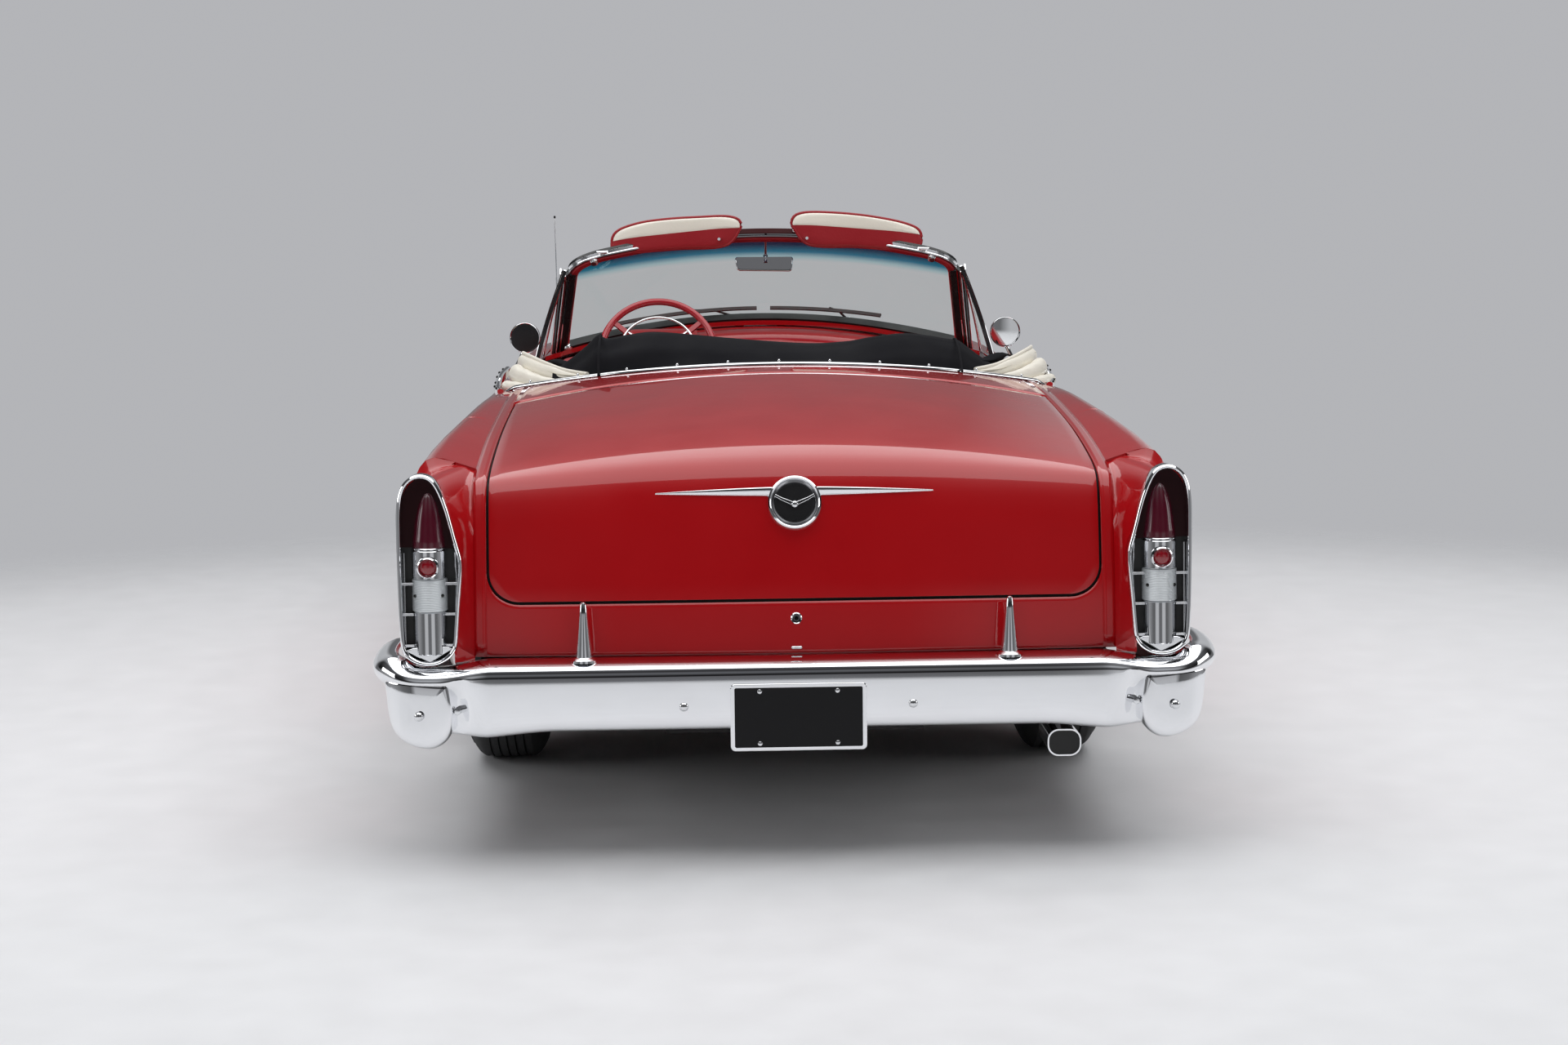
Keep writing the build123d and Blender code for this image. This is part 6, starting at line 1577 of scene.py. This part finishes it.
def area_light(name, where, target, size, power, colour=(1, 1, 1)):
    d = bpy.data.lights.new(name, "AREA")
    d.shape = "RECTANGLE"
    d.size, d.size_y = size
    d.energy = power
    d.color = colour
    o = bpy.data.objects.new(name, d)
    bpy.context.scene.collection.objects.link(o)
    o.location = where
    o.rotation_euler = (Vector(target) - Vector(where)).to_track_quat("-Z", "Y").to_euler()
    return o


area_light("top_light", (0, -1.2, 5.2), (0, -1.2, 0), (8.0, 8.4), 380)
area_light("back_light", (0, -9.5, 3.2), (0, -1.5, 0.4), (9.0, 2.0), 105).visible_glossy = False
area_light("left_light", (-6.5, -2.5, 2.4), (0, -0.9, 0.6), (5.0, 2.2), 72)
area_light("right_light", (6.5, -2.0, 2.4), (0, -0.9, 0.6), (5.0, 2.2), 66)

world = bpy.data.worlds.new("studio")
bpy.context.scene.world = world
world.use_nodes = True
nt = world.node_tree
nt.nodes.clear()
out = nt.nodes.new("ShaderNodeOutputWorld")
seen = nt.nodes.new("ShaderNodeBackground")
seen.inputs["Color"].default_value = (0.455, 0.460, 0.480, 1)
seen.inputs["Strength"].default_value = 1.0
fill = nt.nodes.new("ShaderNodeBackground")
fill.inputs["Strength"].default_value = 1.0
co = nt.nodes.new("ShaderNodeTexCoord")
split = nt.nodes.new("ShaderNodeSeparateXYZ")
ramp = nt.nodes.new("ShaderNodeValToRGB")
ramp.color_ramp.elements[0].position = 0.485
ramp.color_ramp.elements[0].color = (0.46, 0.465, 0.48, 1)
ramp.color_ramp.elements[1].position = 0.90
ramp.color_ramp.elements[1].color = (0.42, 0.43, 0.45, 1)
for at, c in ((0.545, 0.40), (0.58, 0.05), (0.66, 0.03), (0.76, 0.16)):
    ramp.color_ramp.elements.new(at).color = (c, c, c * 1.04, 1)
half = nt.nodes.new("ShaderNodeMapRange")
half.inputs["From Min"].default_value = -1.0
half.inputs["From Max"].default_value = 1.0
nt.links.new(co.outputs["Generated"], split.inputs["Vector"])
nt.links.new(split.outputs["Z"], half.inputs["Value"])
nt.links.new(half.outputs["Result"], ramp.inputs["Fac"])
ahead = nt.nodes.new("ShaderNodeMapRange")
ahead.interpolation_type = "SMOOTHSTEP"
ahead.inputs["From Min"].default_value = 0.55
ahead.inputs["From Max"].default_value = 0.95
ahead.inputs["To Max"].default_value = 0.75
nt.links.new(split.outputs["Y"], ahead.inputs["Value"])
front = nt.nodes.new("ShaderNodeMixRGB")
front.inputs["Color2"].default_value = (0.62, 0.63, 0.65, 1)
nt.links.new(ahead.outputs["Result"], front.inputs["Fac"])
nt.links.new(ramp.outputs["Color"], front.inputs["Color1"])
across = nt.nodes.new("ShaderNodeMath")
across.operation = "ABSOLUTE"
nt.links.new(split.outputs["X"], across.inputs[0])
stripes = nt.nodes.new("ShaderNodeValToRGB")
stripes.color_ramp.elements[0].color = (0.30, 0.30, 0.31, 1)
stripes.color_ramp.elements[1].color = (0.6, 0.6, 0.6, 1)
for at, c in ((0.14, 0.30), (0.24, 1.0), (0.50, 1.0), (0.62, 0.22), (0.80, 0.30)):
    stripes.color_ramp.elements.new(at).color = (c, c, c, 1)
nt.links.new(across.outputs["Value"], stripes.inputs["Fac"])
both_ways = nt.nodes.new("ShaderNodeMixRGB")
both_ways.blend_type = "MULTIPLY"
both_ways.inputs["Fac"].default_value = 1.0
nt.links.new(front.outputs["Color"], both_ways.inputs["Color1"])
nt.links.new(stripes.outputs["Color"], both_ways.inputs["Color2"])
nt.links.new(both_ways.outputs["Color"], fill.inputs["Color"])
path = nt.nodes.new("ShaderNodeLightPath")
mix = nt.nodes.new("ShaderNodeMixShader")
nt.links.new(path.outputs["Is Camera Ray"], mix.inputs["Fac"])
nt.links.new(fill.outputs["Background"], mix.inputs[1])
nt.links.new(seen.outputs["Background"], mix.inputs[2])
nt.links.new(mix.outputs["Shader"], out.inputs["Surface"])

cam_data = bpy.data.cameras.new("camera")
cam_data.lens = 60
cam_data.sensor_width = 36
cam_data.clip_end = 200
cam = bpy.data.objects.new("camera", cam_data)
bpy.context.scene.collection.objects.link(cam)
yaw, pitch, roll = (math.radians(a) for a in (1.67, 7.07, 0.62))
forward = Vector((math.sin(yaw) * math.cos(pitch), math.cos(yaw) * math.cos(pitch), -math.sin(pitch)))
right = Vector((math.cos(yaw), -math.sin(yaw), 0))
above = right.cross(forward)
cam_x = right * math.cos(roll) - above * math.sin(roll)
cam_y = right * math.sin(roll) + above * math.cos(roll)
pose = Matrix((cam_x, cam_y, -forward)).transposed().to_4x4()
pose.translation = Vector((-0.2, -8.47, 1.52))
cam.matrix_world = pose
scene = bpy.context.scene
scene.camera = cam
scene.view_settings.view_transform = "Standard"
scene.view_settings.look = "None"

bpy.context.view_layer.update()
